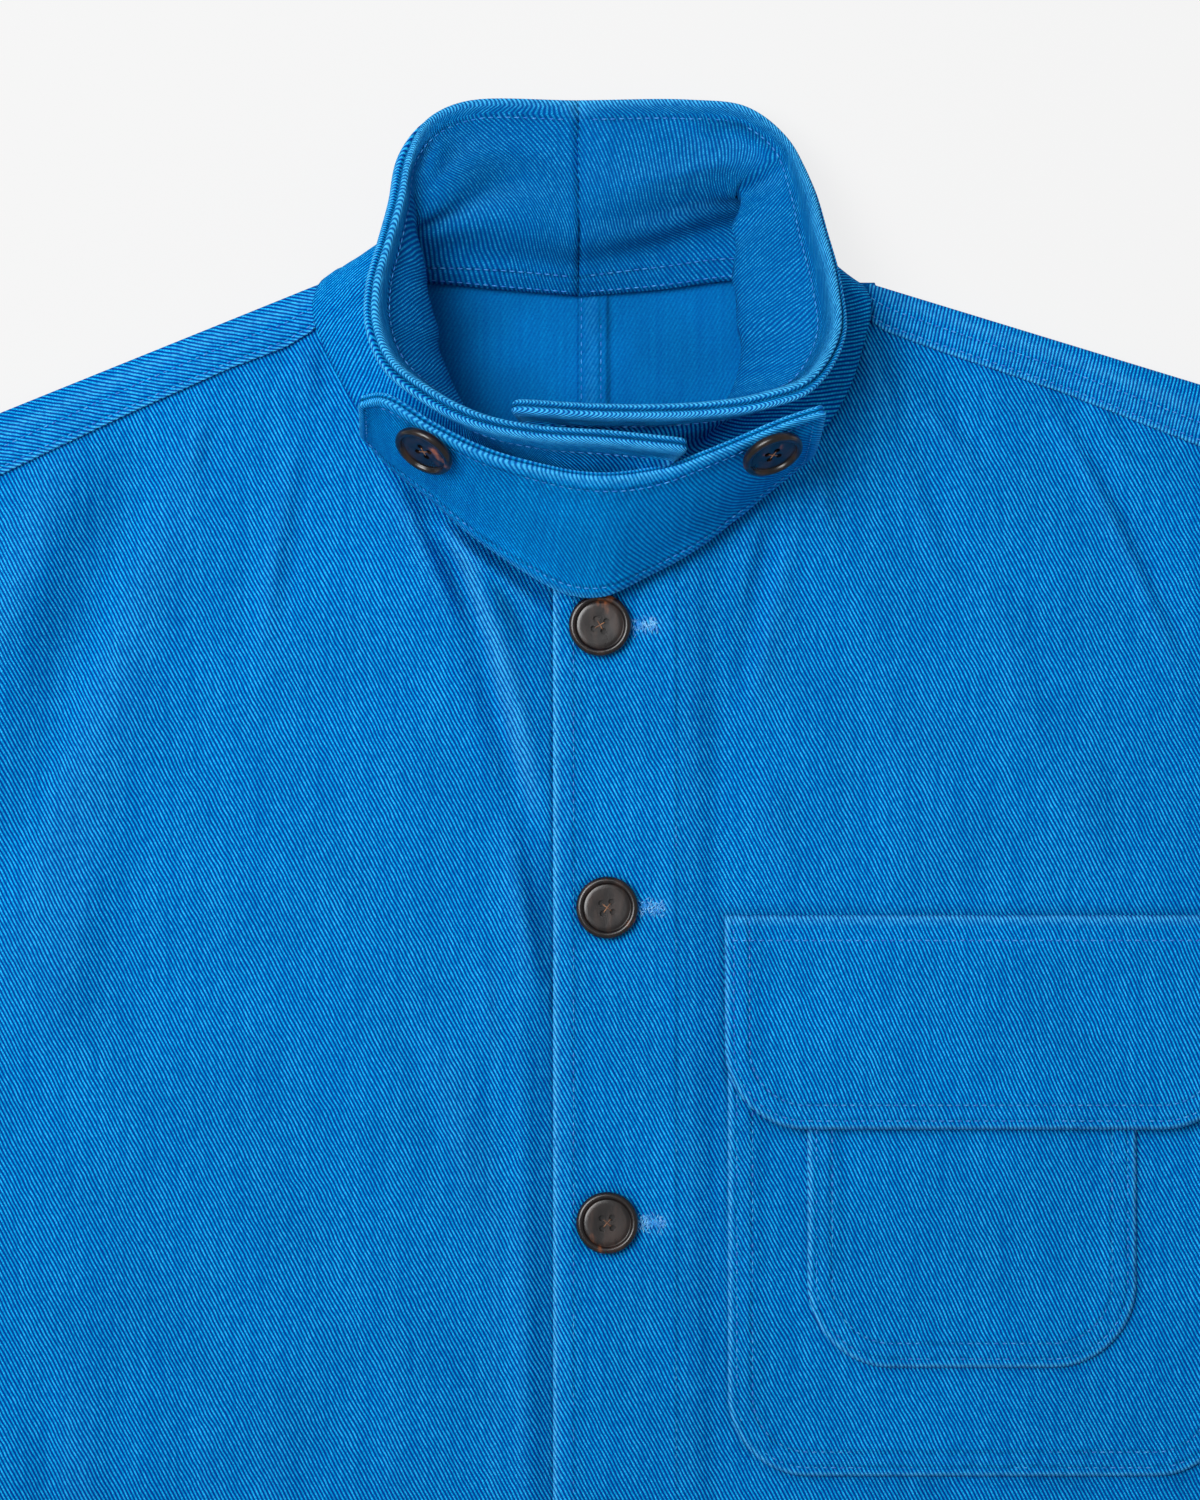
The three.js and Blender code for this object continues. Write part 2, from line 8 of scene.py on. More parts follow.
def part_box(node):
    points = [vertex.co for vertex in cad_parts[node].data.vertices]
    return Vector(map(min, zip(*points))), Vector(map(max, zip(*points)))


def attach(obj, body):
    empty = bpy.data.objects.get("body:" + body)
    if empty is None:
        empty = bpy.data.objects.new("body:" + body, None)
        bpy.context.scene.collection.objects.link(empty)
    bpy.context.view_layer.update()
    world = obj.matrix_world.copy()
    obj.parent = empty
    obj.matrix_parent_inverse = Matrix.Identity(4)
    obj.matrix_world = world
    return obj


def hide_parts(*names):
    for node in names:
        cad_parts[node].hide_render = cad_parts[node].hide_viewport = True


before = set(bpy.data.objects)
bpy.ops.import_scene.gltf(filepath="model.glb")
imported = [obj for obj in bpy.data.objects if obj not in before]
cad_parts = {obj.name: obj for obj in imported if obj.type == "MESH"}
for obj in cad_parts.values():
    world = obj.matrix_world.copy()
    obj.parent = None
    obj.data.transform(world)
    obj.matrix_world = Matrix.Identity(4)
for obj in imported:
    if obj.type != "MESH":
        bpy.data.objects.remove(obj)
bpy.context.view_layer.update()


# Cloth of the coat: heavy cotton drill dyed bright blue, 3/1 twill with pale wales, brushed on its wrong
# side and worn pale along every turned edge. It is one shader group, driven by each piece's UV map in
# millimetres of cloth.
def calc(tree, operation, *values):
    node = tree.nodes.new("ShaderNodeMath")
    node.operation = operation
    for socket, value in zip(node.inputs, values):
        if isinstance(value, (int, float)):
            socket.default_value = value
        else:
            tree.links.new(value, socket)
    return node.outputs[0]


def vector_calc(tree, operation, a, b):
    node = tree.nodes.new("ShaderNodeVectorMath")
    node.operation = operation
    for socket, value in zip(node.inputs, (a, b)):
        if isinstance(value, tuple):
            socket.default_value = value
        else:
            tree.links.new(value, socket)
    return node.outputs["Value" if operation == "DOT_PRODUCT" else "Vector"]


def noise(tree, vector, scale=1.0, detail=2.0, roughness=0.5):
    node = tree.nodes.new("ShaderNodeTexNoise")
    node.inputs["Scale"].default_value = scale
    node.inputs["Detail"].default_value = detail
    node.inputs["Roughness"].default_value = roughness
    tree.links.new(vector, node.inputs["Vector"])
    return node


def ramp_range(tree, value, low, high):
    node = tree.nodes.new("ShaderNodeMapRange")
    node.interpolation_type = "SMOOTHSTEP"
    node.inputs["From Min"].default_value = low
    node.inputs["From Max"].default_value = high
    tree.links.new(value, node.inputs["Value"])
    return node.outputs["Result"]


def bell(tree, value, width):
    """1 where the value is 0, falling off smoothly to both sides."""
    share = calc(tree, "DIVIDE", value, width)
    return calc(tree, "EXPONENT", calc(tree, "MULTIPLY", calc(tree, "MULTIPLY", share, share), -1.0))


def mix_colour(tree, factor, a, b, blend="MIX"):
    node = tree.nodes.new("ShaderNodeMix")
    node.data_type = "RGBA"
    node.blend_type = blend
    for socket, value in ((node.inputs[0], factor), (node.inputs[6], a), (node.inputs[7], b)):
        if isinstance(value, (tuple, float)):
            socket.default_value = value
        else:
            tree.links.new(value, socket)
    return node.outputs[2]


def combine(tree, x, y, z=0.0):
    node = tree.nodes.new("ShaderNodeCombineXYZ")
    for socket, value in zip(node.inputs, (x, y, z)):
        if isinstance(value, (int, float)):
            socket.default_value = value
        else:
            tree.links.new(value, socket)
    return node.outputs[0]


def srgb(r, g, b):
    linear = [c / 255 / 12.92 if c <= 10 else ((c / 255 + 0.055) / 1.055) ** 2.4 for c in (r, g, b)]
    return (*linear, 1.0)


def bumped(tree, height, distance):
    node = tree.nodes.new("ShaderNodeBump")
    node.inputs["Distance"].default_value = distance
    tree.links.new(height, node.inputs["Height"])
    return node


def new_material(name):
    material = bpy.data.materials.new(name)
    material.use_nodes = True
    return material, material.node_tree, material.node_tree.nodes["Principled BSDF"]


def cloth_group():
    tree = bpy.data.node_groups.new("twill_cloth", "ShaderNodeTree")
    inputs = (("Cloth", "Vector"), ("Across wales", "Vector"), ("Wale pitch", "Float"), ("Nap", "Float"),
              ("Wear and shade", "Float"), ("Ground", "Color"), ("Wale", "Color"), ("Worn", "Color"))
    outputs = (("Color", "Color"), ("Roughness", "Float"), ("Height", "Float"))
    for way, sockets in (("INPUT", inputs), ("OUTPUT", outputs)):
        for name, kind in sockets:
            tree.interface.new_socket(name, in_out=way, socket_type="NodeSocket" + kind)
    given = tree.nodes.new("NodeGroupInput").outputs
    made = tree.nodes.new("NodeGroupOutput").inputs

    def times(a, b):
        return calc(tree, "MULTIPLY", a, b)

    def scaled(value, by, plus):
        return calc(tree, "MULTIPLY_ADD", value, by, plus)

    def clamped(value):
        node = tree.nodes.new("ShaderNodeClamp")
        tree.links.new(value, node.inputs[0])
        return node.outputs[0]

    def streaks(wide, long):
        return noise(tree, vector_calc(tree, "DIVIDE", cloth, (wide, long, 1.0))).outputs["Fac"]

    # wales: s counts them across, t runs along them, and each is broken into floats of yarn
    cloth = given["Cloth"]
    waver = vector_calc(tree, "SUBTRACT", noise(tree, cloth, 0.09).outputs["Color"], (0.5, 0.5, 0.5))
    place = vector_calc(tree, "ADD", cloth, vector_calc(tree, "MULTIPLY", waver, (1.2, 1.2, 0)))
    split = tree.nodes.new("ShaderNodeSeparateXYZ")
    tree.links.new(given["Across wales"], split.inputs[0])
    along = combine(tree, split.outputs[1], times(split.outputs[0], -1.0))
    across = vector_calc(tree, "DOT_PRODUCT", place, given["Across wales"])
    s = calc(tree, "DIVIDE", across, given["Wale pitch"])
    t = vector_calc(tree, "DOT_PRODUCT", place, along)
    wale = ramp_range(tree, scaled(calc(tree, "SINE", times(s, 2 * math.pi)), 0.5, 0.5), 0.08, 0.98)
    which = calc(tree, "FLOOR", calc(tree, "ADD", s, 0.25))
    dash = noise(tree, combine(tree, times(which, 3.17), calc(tree, "DIVIDE", t, 1.7))).outputs["Fac"]
    float_end = scaled(calc(tree, "SINE", scaled(t, 2 * math.pi / 0.95, times(which, 2.3))), 0.5, 0.5)
    mottle = noise(tree, cloth, 0.03).outputs["Fac"]
    fuzz = noise(tree, cloth, 1.3, 5, 0.75).outputs["Fac"]

    # colour: dark ground between pale wales, hidden by nap on the brushed side, uneven yarn by yarn
    lit = times(wale, scaled(ramp_range(tree, dash, 0.28, 0.74), 0.42, 0.66))
    lit = times(lit, scaled(float_end, 0.3, 0.7))
    brushed = calc(tree, "ADD", times(lit, 0.24), scaled(ramp_range(tree, fuzz, 0.3, 0.75), 0.32, 0.12))
    pick = tree.nodes.new("ShaderNodeMix")
    for socket, value in ((pick.inputs[0], given["Nap"]), (pick.inputs[2], lit), (pick.inputs[3], brushed)):
        tree.links.new(value, socket)
    value = times(pick.outputs[0], scaled(streaks(1.5, 30.0), 0.7, 0.65))
    value = times(value, scaled(streaks(7.0, 70.0), 0.36, 0.82))
    colour = mix_colour(tree, clamped(value), given["Ground"], given["Wale"])
    colour = mix_colour(tree, times(ramp_range(tree, value, 0.6, 1.05), 0.35), colour, given["Worn"])

    # wear and shade: below 0 it darkens the cloth as painted shade, above 0 it rubs the wales pale
    blotch = times(ramp_range(tree, mottle, 0.3, 0.7), scaled(given["Nap"], 0.14, 0.08))
    shade = calc(tree, "ADD", blotch, 0.94)
    shade = calc(tree, "SUBTRACT", shade, calc(tree, "MAXIMUM", times(given["Wear and shade"], -1.0), 0.0))
    shade = calc(tree, "MAXIMUM", shade, 0.05)
    colour = mix_colour(tree, 1.0, colour, combine(tree, shade, shade, shade), "MULTIPLY")
    patchy = scaled(ramp_range(tree, dash, 0.25, 0.6), 0.7, times(fuzz, 0.5))
    worn_and_shaded = times(times(calc(tree, "MAXIMUM", given["Wear and shade"], 0.0), patchy), scaled(wale, 1.1, 0.12))
    colour = mix_colour(tree, clamped(worn_and_shaded), colour, given["Worn"])

    flat = calc(tree, "SUBTRACT", 1.0, times(given["Nap"], 0.75))
    height = times(times(wale, scaled(float_end, 0.3, 0.7)), flat)
    height = calc(tree, "ADD", height, times(fuzz, scaled(given["Nap"], 0.4, 0.15)))
    for name, result in (("Color", colour), ("Roughness", scaled(value, 0.1, 0.82)), ("Height", height)):
        tree.links.new(result, made[name])
    return tree


TWILL = cloth_group()
WALE_PITCH = 1.17
GROUND, WALE, WORN = srgb(0, 54, 148), srgb(0, 183, 253), srgb(72, 190, 250)
# darker colours for the insides of the collar and the back: less faded cloth, and painted shade of the neck's
# hollow
INNER_GROUND_SHADED, INNER_WALE_SHADED = srgb(0, 62, 142), srgb(3, 144, 208)


def cloth_material(name, angle, nap=0.0, grooves=(), ground=GROUND, wale=WALE):
    """Twill whose wales climb to the upper left at this angle. grooves are sewn rows, mm from the edge."""
    material, tree, shader = new_material(name)
    shader.inputs["Sheen Weight"].default_value = 0.02 + 0.03 * nap
    shader.inputs["Sheen Tint"].default_value = srgb(60, 160, 255)
    shader.inputs["Specular IOR Level"].default_value = 0.04
    uv = tree.nodes.new("ShaderNodeUVMap")
    uv.uv_map = "cloth"
    group = tree.nodes.new("ShaderNodeGroup")
    group.node_tree = TWILL
    a = math.radians(angle)
    across = (math.sin(a), math.cos(a), 0)
    for key, value in (("Across wales", across), ("Wale pitch", WALE_PITCH), ("Nap", nap), ("Ground", ground),
                       ("Wale", wale), ("Worn", WORN)):
        group.inputs[key].default_value = value
    wear_and_shade, edge = tree.nodes.new("ShaderNodeAttribute"), tree.nodes.new("ShaderNodeAttribute")
    wear_and_shade.attribute_name, edge.attribute_name = "wear_and_shade", "edge"
    tree.links.new(uv.outputs[0], group.inputs["Cloth"])
    tree.links.new(group.outputs["Color"], shader.inputs["Base Color"])
    tree.links.new(group.outputs["Roughness"], shader.inputs["Roughness"])
    weave = bumped(tree, group.outputs["Height"], 0.0002)
    sunk, worn_and_shaded = 0.0, wear_and_shade.outputs["Fac"]
    pucker = noise(tree, uv.outputs[0], 0.21).outputs["Fac"]
    for at in grooves:
        off = calc(tree, "SUBTRACT", edge.outputs["Fac"], at)
        dip = bell(tree, off, 0.85)
        crimp = calc(tree, "MULTIPLY", bell(tree, off, 3.2), pucker)
        both = calc(tree, "SUBTRACT", calc(tree, "MULTIPLY", crimp, 1.8), calc(tree, "MULTIPLY", dip, 0.6))
        sunk = calc(tree, "ADD", sunk, both)
        # painted shade along each sewn row's groove
        worn_and_shaded = calc(tree, "SUBTRACT", worn_and_shaded, calc(tree, "MULTIPLY", dip, 0.16))
    tree.links.new(worn_and_shaded, group.inputs["Wear and shade"])
    if grooves:
        tree.links.new(bumped(tree, sunk, 0.0006).outputs[0], weave.inputs["Normal"])
    tree.links.new(weave.outputs[0], shader.inputs["Normal"])
    return material


# Fronts: the left one runs under the right one to its button stand, the right one carries the buttonholes
# and laps it. Drill, faced along the closing edge, with soft folds that start at the neck, and puckered
# edge rows.
# where each front button sits, x and y
FRONT_BUTTONS = [(0, 40), (2.3, -50.5), (2.3, -151.5), (2, -252.5), (2, -353.5), (2, -454.5)]
low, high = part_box("button_front_2")
ORIGIN = (np.array((low + high) / 2)[:2] * 1000 - FRONT_BUTTONS[1]).round(3)
# left and right edge, top, bottom, lower corner radius, thickness: the pocket, the small pocket on it, and
# the flap
POCKET = (41.0, 204.0, -64.0, -233.0, 26.0, 1.5)
PATCH = (66.5, 172.0, -92.0, -198.0, 27.0, 1.5)
FLAP = (40.0, 206.0, -53.0, -121.5, 26.0, 2.4)
CLOTH = 1.5
SEAM_GAP = 0.4
FRONT_FLAT = 2 * CLOTH + SEAM_GAP
HEM_Y = -589.0
UNDERARM_Y = -145.0
# how far each front runs past the middle line
PAST_MIDDLE = {"left": 25.0, "right": 15.1}
# height, half width of the body
SIDE = np.array([
    (-589, 290), (-520, 288), (-450, 286), (-380, 284), (-310, 283), (-240, 283), (-190, 284), (-145, 286),
    (-128, 268), (-108, 251), (-80, 239), (-48, 232), (-10, 229), (30, 231), (65, 237), (90, 243)], float)
# distance from the middle line, height of the front's top edge
FRONT_TOP = {
    "left": np.array([(-30, 53.5), (0, 53.5), (8, 54.5), (22.4, 59), (41.5, 72), (60.7, 91), (73.5, 107),
                      (81.5, 119), (87.4, 131), (90.5, 142), (193, 90), (250, 61)], float),
    "right": np.array([(-30, 54.5), (0, 54.5), (19, 59.5), (42, 72), (61, 90), (75.5, 112), (81.5, 129),
                       (86, 144.5), (193, 97.5), (250, 72)], float),
}
# x and y of one end, x and y of the other, lift, width
FOLDS = [
    (-49, 72, -15.5, -2, 2.2, 9), (-40, 60, -20, 4, -1.2, 6), (-62, -90, -41, -141, 1, 13),
    (-138, 48, -177, -34, 2.2, 15), (-170, -20, -189, -110, 1.8, 14), (-196, 40, -214, -60, -1, 14),
    (92, 136, 148, 102, 2, 8), (103, 125, 160, 92, -1.8, 9), (158, 96, 194, 20, -1.8, 11),
    (69, 87, 75, 40, 1, 7), (178, 90, 214, 0, 1.6, 13), (-120, -330, -96, -560, 1.4, 20),
    (112, -300, 140, -550, 1.4, 22), (-215, -180, -232, -400, 1.2, 18), (226, -170, 214, -420, 1.2, 18),
]
# creases: x and y of the upper end, x and y of the lower end, bow to the right, how far the cloth falls to
# the right across it (it rises where negative), width
CREASES = [
    (-68, 94, -36, 28, 0, 4, 4.5), (-54, 76, -20, -30, 3.6, -4.4, 5.6), (-62, 82, -8, 40, 0, 5.5, 4.5),
    (-28, -18, -15.5, -90, 0, 3.6, 4.8), (-23, -66, -19.3, -300, 0, 2.4, 5),
    (-134, 118, -208, -96, 1, -2.6, 13), (-158, 104, -196, 0, -2, 3.2, 12),
    (-151, -9.6, -173.5, -106, 0, 1.6, 9), (-93.8, 106, -105.4, 30, -1, 1.6, 4),
    (-110, 72, -112, 18, 0, -0.9, 6), (-96.4, 133, -101.5, 117, 0, -1.2, 3.5),
    (-90.6, 132, -91, 110, 0, 1.4, 3.5), (-124.7, 108, -130, 85, 0, 1.2, 4),
    (-62.7, -84, -46.6, -150, 2, -1.4, 6), (-41.8, -90, -30.5, -158, 0, 1.3, 8),
    (-35.3, -62, -33, -102, 0, 0.9, 3), (-176, -186, -174, -300, 0, -1.3, 6),
    (-160, -190, -161, -290, 0, 1.2, 6), (-131, -196, -129, -290, 0, -0.8, 6),
    (-98, -200, -100, -290, 0, 0.8, 7), (-72, -190, -70, -280, 0, -0.6, 6),
    (139.8, 122, 191.2, 17, 3, 2.5, 3.6), (160.7, 111, 173.5, 90, 0, 1.2, 3),
    (100.2, 119, 125.3, 88, 0, 1.9, 4), (115.7, 116, 138, 101, 0, -0.9, 5), (82.9, 144, 98, 104, 0, 2.8, 5),
    (94.8, 104, 115.7, 48, 1, 1.1, 4), (70.7, 100, 76.5, 68, 0, 2.1, 3), (60.4, 82, 44.3, 6, 0, -2.1, 5),
    (54.6, 80, 46.6, 46, 0, 1.4, 4), (33.7, 70, 33.7, -60, 0, 1, 5), (33.7, -30, 33.7, -300, 0, 1, 5),
    (131.7, 52, 144.6, -6, 0, 0.8, 6), (56.2, -4, 64.3, -46, 0, 0.9, 6), (157, 6, 165, -44, 0, 0.7, 7),
    (86, 30, 90, -52, 0, -0.6, 9), (112, 30, 118, -50, 0, 0.6, 9),
]
# painted highlight and painted shade of the fold beside the closing edge: the columns of FOLDS, with the
# painted light (pale above 0, shaded below 0) in place of the lift
LAP_FOLD_PAINTED_LIGHT = [(-54, 86, -26, 12, 0.5, 3.2), (-40, 52, -16, -38, 0.5, 3.2), (-42, 70, -19, 22, -0.4, 3.4),
              (-58, 80, -32, 22, -0.22, 2.6)]


def smoothstep(x, low, high):
    x = np.clip((np.asarray(x, float) - low) / (high - low), 0, 1)
    return x * x * (3 - 2 * x)


def hump(x, middle, width):
    """1 at the middle, falling off smoothly to both sides."""
    return np.exp(-(((x - middle) / width) ** 2))


def lerp(a, b, t):
    return a + (b - a) * t


def ridges(table, x, y):
    lift = np.zeros(np.broadcast(x, y).shape)
    for x0, y0, x1, y1, height, width in table:
        dx, dy = x1 - x0, y1 - y0
        length = math.hypot(dx, dy)
        t = ((x - x0) * dx + (y - y0) * dy) / length**2
        off = ((x - x0) * dy - (y - y0) * dx) / length / width
        rise = height * np.sin(np.pi * np.clip(t, 0, 1)) ** 2 * np.exp(-off * off)
        lift += np.where((t > 0) & (t < 1), rise, 0)
    return lift


def creased(table, x, y):
    lift = np.zeros(np.broadcast(x, y).shape)
    for x0, y0, x1, y1, bow, drop, width in table:
        dx, dy = x1 - x0, y1 - y0
        length = math.hypot(dx, dy)
        t = np.clip(((x - x0) * dx + (y - y0) * dy) / length**2, 0, 1)
        across = (((y - y0) * dx - (x - x0) * dy) / length - 4 * bow * t * (1 - t)) / width
        lift -= 1.8 * drop * np.sin(np.pi * t) * across * np.exp(-across * across)
    return lift


def soft_noise(x, y, cell, seed):
    """Smooth noise from -1 to 1, the same each run, with bumps about one cell across."""
    table = np.random.default_rng(seed).uniform(-1, 1, (64, 64))
    gx, gy = x / cell + 1000, y / cell + 1000
    ix, iy = np.floor(gx).astype(int), np.floor(gy).astype(int)
    fx, fy = gx - ix, gy - iy
    fx, fy = fx * fx * (3 - 2 * fx), fy * fy * (3 - 2 * fy)
    at = lambda a, b: table[a % 64, b % 64]
    return lerp(lerp(at(ix, iy), at(ix + 1, iy), fx), lerp(at(ix, iy + 1), at(ix + 1, iy + 1), fx), fy)


def front_height(x, y):
    inside = np.interp(y, SIDE[:, 0], SIDE[:, 1]) - np.abs(x)
    rise = smoothstep(inside, 0, 60) * (3.3 + ridges(FOLDS, x, y))
    return FRONT_FLAT + rise + 3 * hump(np.maximum(np.hypot(x, y - 100) - 58, 0), 0, 34)


def lap(x):
    return 2.1 * (1 - smoothstep(x, 26, 40))


def cloth_height(x, y):
    """The fronts' outer face, with the fine creases."""
    inside = smoothstep(np.interp(y, SIDE[:, 0], SIDE[:, 1]) - np.abs(x), 0, 40)
    fine = creased(CREASES, x, y) + 0.5 * soft_noise(x, y * 0.4, 22, 3) + 0.14 * soft_noise(x, y * 0.7, 9, 5)
    return front_height(x, y) + inside * fine


def outline_distance(piece, x, y):
    """How far inside the outline a point is, the top edge left out."""
    x0, x1, top, bottom, corner, _ = piece
    straight = np.minimum(np.minimum(x - x0, x1 - x), y - bottom)
    cx = np.where(x < (x0 + x1) / 2, x0 + corner, x1 - corner)
    beside = np.where(x < (x0 + x1) / 2, cx - x, x - cx)
    below = bottom + corner - y
    return np.where((beside > 0) & (below > 0), corner - np.hypot(beside, below), straight)


def shaded_by(piece, x, y, reach, strength):
    """Soft shade that a piece leaves on the cloth round it."""
    outside = np.maximum(-np.minimum(outline_distance(piece, x, y), piece[2] - y), 0)
    return -strength * hump(outside, 0, reach)


def mesh_object(name, points, faces, uv, attributes, materials, material_index=None):
    mesh = bpy.data.meshes.new(name)
    mesh.from_pydata((np.asarray(points) / 1000).tolist(), [], faces.tolist())
    layer = mesh.uv_layers.new(name="cloth")
    loops = np.zeros(len(mesh.loops), np.int32)
    mesh.loops.foreach_get("vertex_index", loops)
    layer.data.foreach_set("uv", np.asarray(uv, np.float32)[loops].ravel())
    for key, values in attributes.items():
        attribute = mesh.attributes.new(key, "FLOAT", "POINT")
        attribute.data.foreach_set("value", np.asarray(values, np.float32).ravel())
    for material in materials:
        mesh.materials.append(material)
    if material_index is not None:
        mesh.polygons.foreach_set("material_index", np.asarray(material_index, np.int32))
    mesh.polygons.foreach_set("use_smooth", np.ones(len(mesh.polygons), bool))
    mesh.update()
    obj = bpy.data.objects.new(name, mesh)
    bpy.context.collection.objects.link(obj)
    return obj


def shell(name, top, bottom, uv, wear_and_shade, edge, materials):
    """A closed wall of cloth between two nets of points, rows by columns, in the coat's own millimetres."""
    rows, cols = top.shape[:2]
    n = rows * cols
    ids = np.arange(n).reshape(rows, cols)
    quads = np.stack([ids[:-1, :-1], ids[:-1, 1:], ids[1:, 1:], ids[1:, :-1]], -1).reshape(-1, 4)
    ring = np.concatenate([ids[0, :-1], ids[:-1, -1], ids[-1, :0:-1], ids[:0:-1, 0]])
    after = np.roll(ring, -1)
    rim = np.stack([ring, ring + n, after + n, after], -1)
    faces = np.concatenate([quads, quads[:, ::-1] + n, rim])
    points = np.concatenate([top.reshape(-1, 3), bottom.reshape(-1, 3)]) + np.array([*ORIGIN, 0])
    a, b, c, d = (points[faces[:, k]] for k in range(4))
    volume = np.einsum("ij,ij->", a, np.cross(b, c)) + np.einsum("ij,ij->", a, np.cross(c, d))
    if volume < 0:
        faces = faces[:, ::-1]
    pair = lambda values: np.concatenate([values.reshape(n, -1)] * 2)
    which = np.concatenate([np.zeros(len(quads)), np.ones(len(quads)), np.zeros(len(rim))])
    return mesh_object(name, points, faces, pair(uv), {"wear_and_shade": pair(wear_and_shade), "edge": pair(edge)}, materials,
                       which if len(materials) > 1 else None)


def steps(*spans):
    """Places from the first value on, with the given spacing up to each next value."""
    places = [spans[0]]
    for end, size in spans[1:]:
        count = max(int(round(abs(end - places[-1]) / size)), 1)
        places += list(np.linspace(places[-1], end, count + 1)[1:])
    return np.array(places)


FACE = cloth_material("twill_front", 62, grooves=(7.0, 40.0))
REVERSE = cloth_material("twill_reverse", 118, nap=1.0)
# half width, height of the fold, height of the seam
SHOULDER = {"left": (243, 88, 65), "right": (240, 103, 78)}


def turned_edge(edge):
    """How much the closing edge stands up, over its turned fold and over the facing behind it."""
    return 0.5 * (1 - smoothstep(edge, 6.2, 8.4)) + 0.3 * (1 - smoothstep(edge, 38, 41))


def front_piece(side, sign):
    closing, wide, top = -PAST_MIDDLE[side], SHOULDER[side][0], FRONT_TOP[side]
    body_top = np.interp(wide, top[:, 0], top[:, 1])
    across = steps(0, (1.2, 0.4), (205, 1.5), (wide - closing, 6)) / (wide - closing)
    rows = steps(HEM_Y, (-250, 8), (-100, 2.8), (body_top - 1.2, 1.7), (body_top, 0.4))
    v = ((rows - HEM_Y) / (body_top - HEM_Y))[:, None]
    u = across[None, :]
    top_x = lerp(closing, wide, u)
    top_y = np.interp(top_x, top[:, 0], top[:, 1])
    side_y = lerp(HEM_Y, body_top, v)
    y = lerp(side_y, lerp(HEM_Y, top_y, v), smoothstep(1 - u, 0, 0.12))
    x = lerp(closing, np.interp(side_y, SIDE[:, 0], SIDE[:, 1]), u)
    x = sign * lerp(x, top_x, smoothstep(v, 0.75, 1) * (1 - smoothstep(u, 0.9, 1)))
    z = cloth_height(x, y)
    edge = sign * x - closing + 0 * y
    if side == "right":
        z = z + lap(x) + turned_edge(edge)
        z = z + 0.16 * soft_noise(x * 0.6, y, 5.5, 11) * hump(edge, 6, 6)
        z = z + 0.14 * soft_noise(x, y, 7, 13) * hump(edge, 39, 5)
        z = z - 1.1 * (1 - np.sqrt(np.clip(1 - (1 - np.clip(edge / 1.2, 0, 1)) ** 2, 0, 1)))
        wear_and_shade = 1.6 * hump(edge, 0.4, 0.8) + 0.05 * (1 - smoothstep(edge, 6.2, 8.4))
        # pale wear on the creases' ridges, and painted shade in their troughs
        wear_and_shade = wear_and_shade + 0.05 * creased(CREASES, x, y)
        wear_and_shade = wear_and_shade + shaded_by(FLAP, x, y, 2.4, 0.3) + shaded_by(POCKET, x, y, 1.8, 0.2)
        for bx, by in FRONT_BUTTONS:
            wear_and_shade = wear_and_shade + 0.75 * hump(x - bx, 14.5, 5) * hump(y, by, 2.3)
            # painted shade in a ring round each button
            wear_and_shade = wear_and_shade - 0.4 * hump(np.maximum(np.hypot(x - bx, y - by) - 9, 0), 0, 2)
    else:
        step = smoothstep(-x, 32.6, 35.4) * smoothstep(-y, 62, 68)
        z = z - 0.3 * step * (1 - smoothstep(-x, 36, 70))
        # painted highlight and shade of the lap fold, pale wear on the creases' ridges and painted shade in
        # their troughs
        wear_and_shade = ridges(LAP_FOLD_PAINTED_LIGHT, x, y) + 0.055 * creased(CREASES, x, y)
        # painted shade beside the right front's lapped edge
        wear_and_shade = wear_and_shade - 0.2 * hump(np.maximum(-x - 15, 0), 0, 5.5)
        wear_and_shade = wear_and_shade + 0.1 * hump(-x, 34, 1.2) * smoothstep(-y, 62, 70)
    from_hem = y - HEM_Y
    z = z + 0.35 * (1 - smoothstep(from_hem, 20, 23))
    wear_and_shade = wear_and_shade + 0.6 * hump(from_hem, 0, 1.2)
    net = np.stack([x, y, z], -1)
    obj = shell("front_" + side + "_cloth", net, net - (0, 0, CLOTH), net[..., :2], wear_and_shade, edge,
                [FACE, REVERSE])
    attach(obj, "root")
    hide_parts("front_" + side)
    return obj


left_front = front_piece("left", -1)
right_front = front_piece("right", 1)


# Back: two halves joined by a felled seam down the middle. They lie flat, and their shoulders run over a
# soft fold and forward to a felled shoulder seam, so a strip of each shows along the front's shoulder.
NECK_FOLD = {"left": (87, 151), "right": (83, 151)}
# distance from the middle line, height of the felled edge that covers the front's top edge
SEAM_LINE = {
    "left": np.array([(87, 141), (92.3, 134.3), (101, 129.1), (118.6, 122.5), (149, 108.9), (193, 88),
                      (250, 61)], float),
    "right": np.array([(80, 142), (92, 134.2), (105, 129.4), (149, 114.5), (193, 97.3), (250, 72)], float),
}
# how far behind the fold, height: the section over the shoulder
SHOULDER_SECTION = [(12, 0.02), (4, 0.02), (1.9, 0.35), (0.6, 1.3), (0, 2.6), (0, 4.8), (0.7, 6.1), (2.0, 7.0),
                    (4, 7.4)]
# the flat back ends this far behind the fold
SHOULDER_BACK = 5.0
# the centre back seam runs this far to the left of the middle line
BACK_SEAM = 6.9
# sewn rows, in mm from the seam
FELLED_ROWS = (0.9, 7.2)
STRIP_ROWS = (2.0, 7.6)
# the strip's face over the front's face
STRIP_SEAT = CLOTH + 0.25
BACK_FACE = cloth_material("twill_back", 61)
BACK_INSIDE = cloth_material("twill_back_inside", 119, 1.0, FELLED_ROWS, INNER_GROUND_SHADED, INNER_WALE_SHADED)
SHOULDER_CLOTH = {"left": cloth_material("twill_shoulder_left", 10, grooves=STRIP_ROWS),
                  "right": cloth_material("twill_shoulder_right", 104, grooves=STRIP_ROWS)}


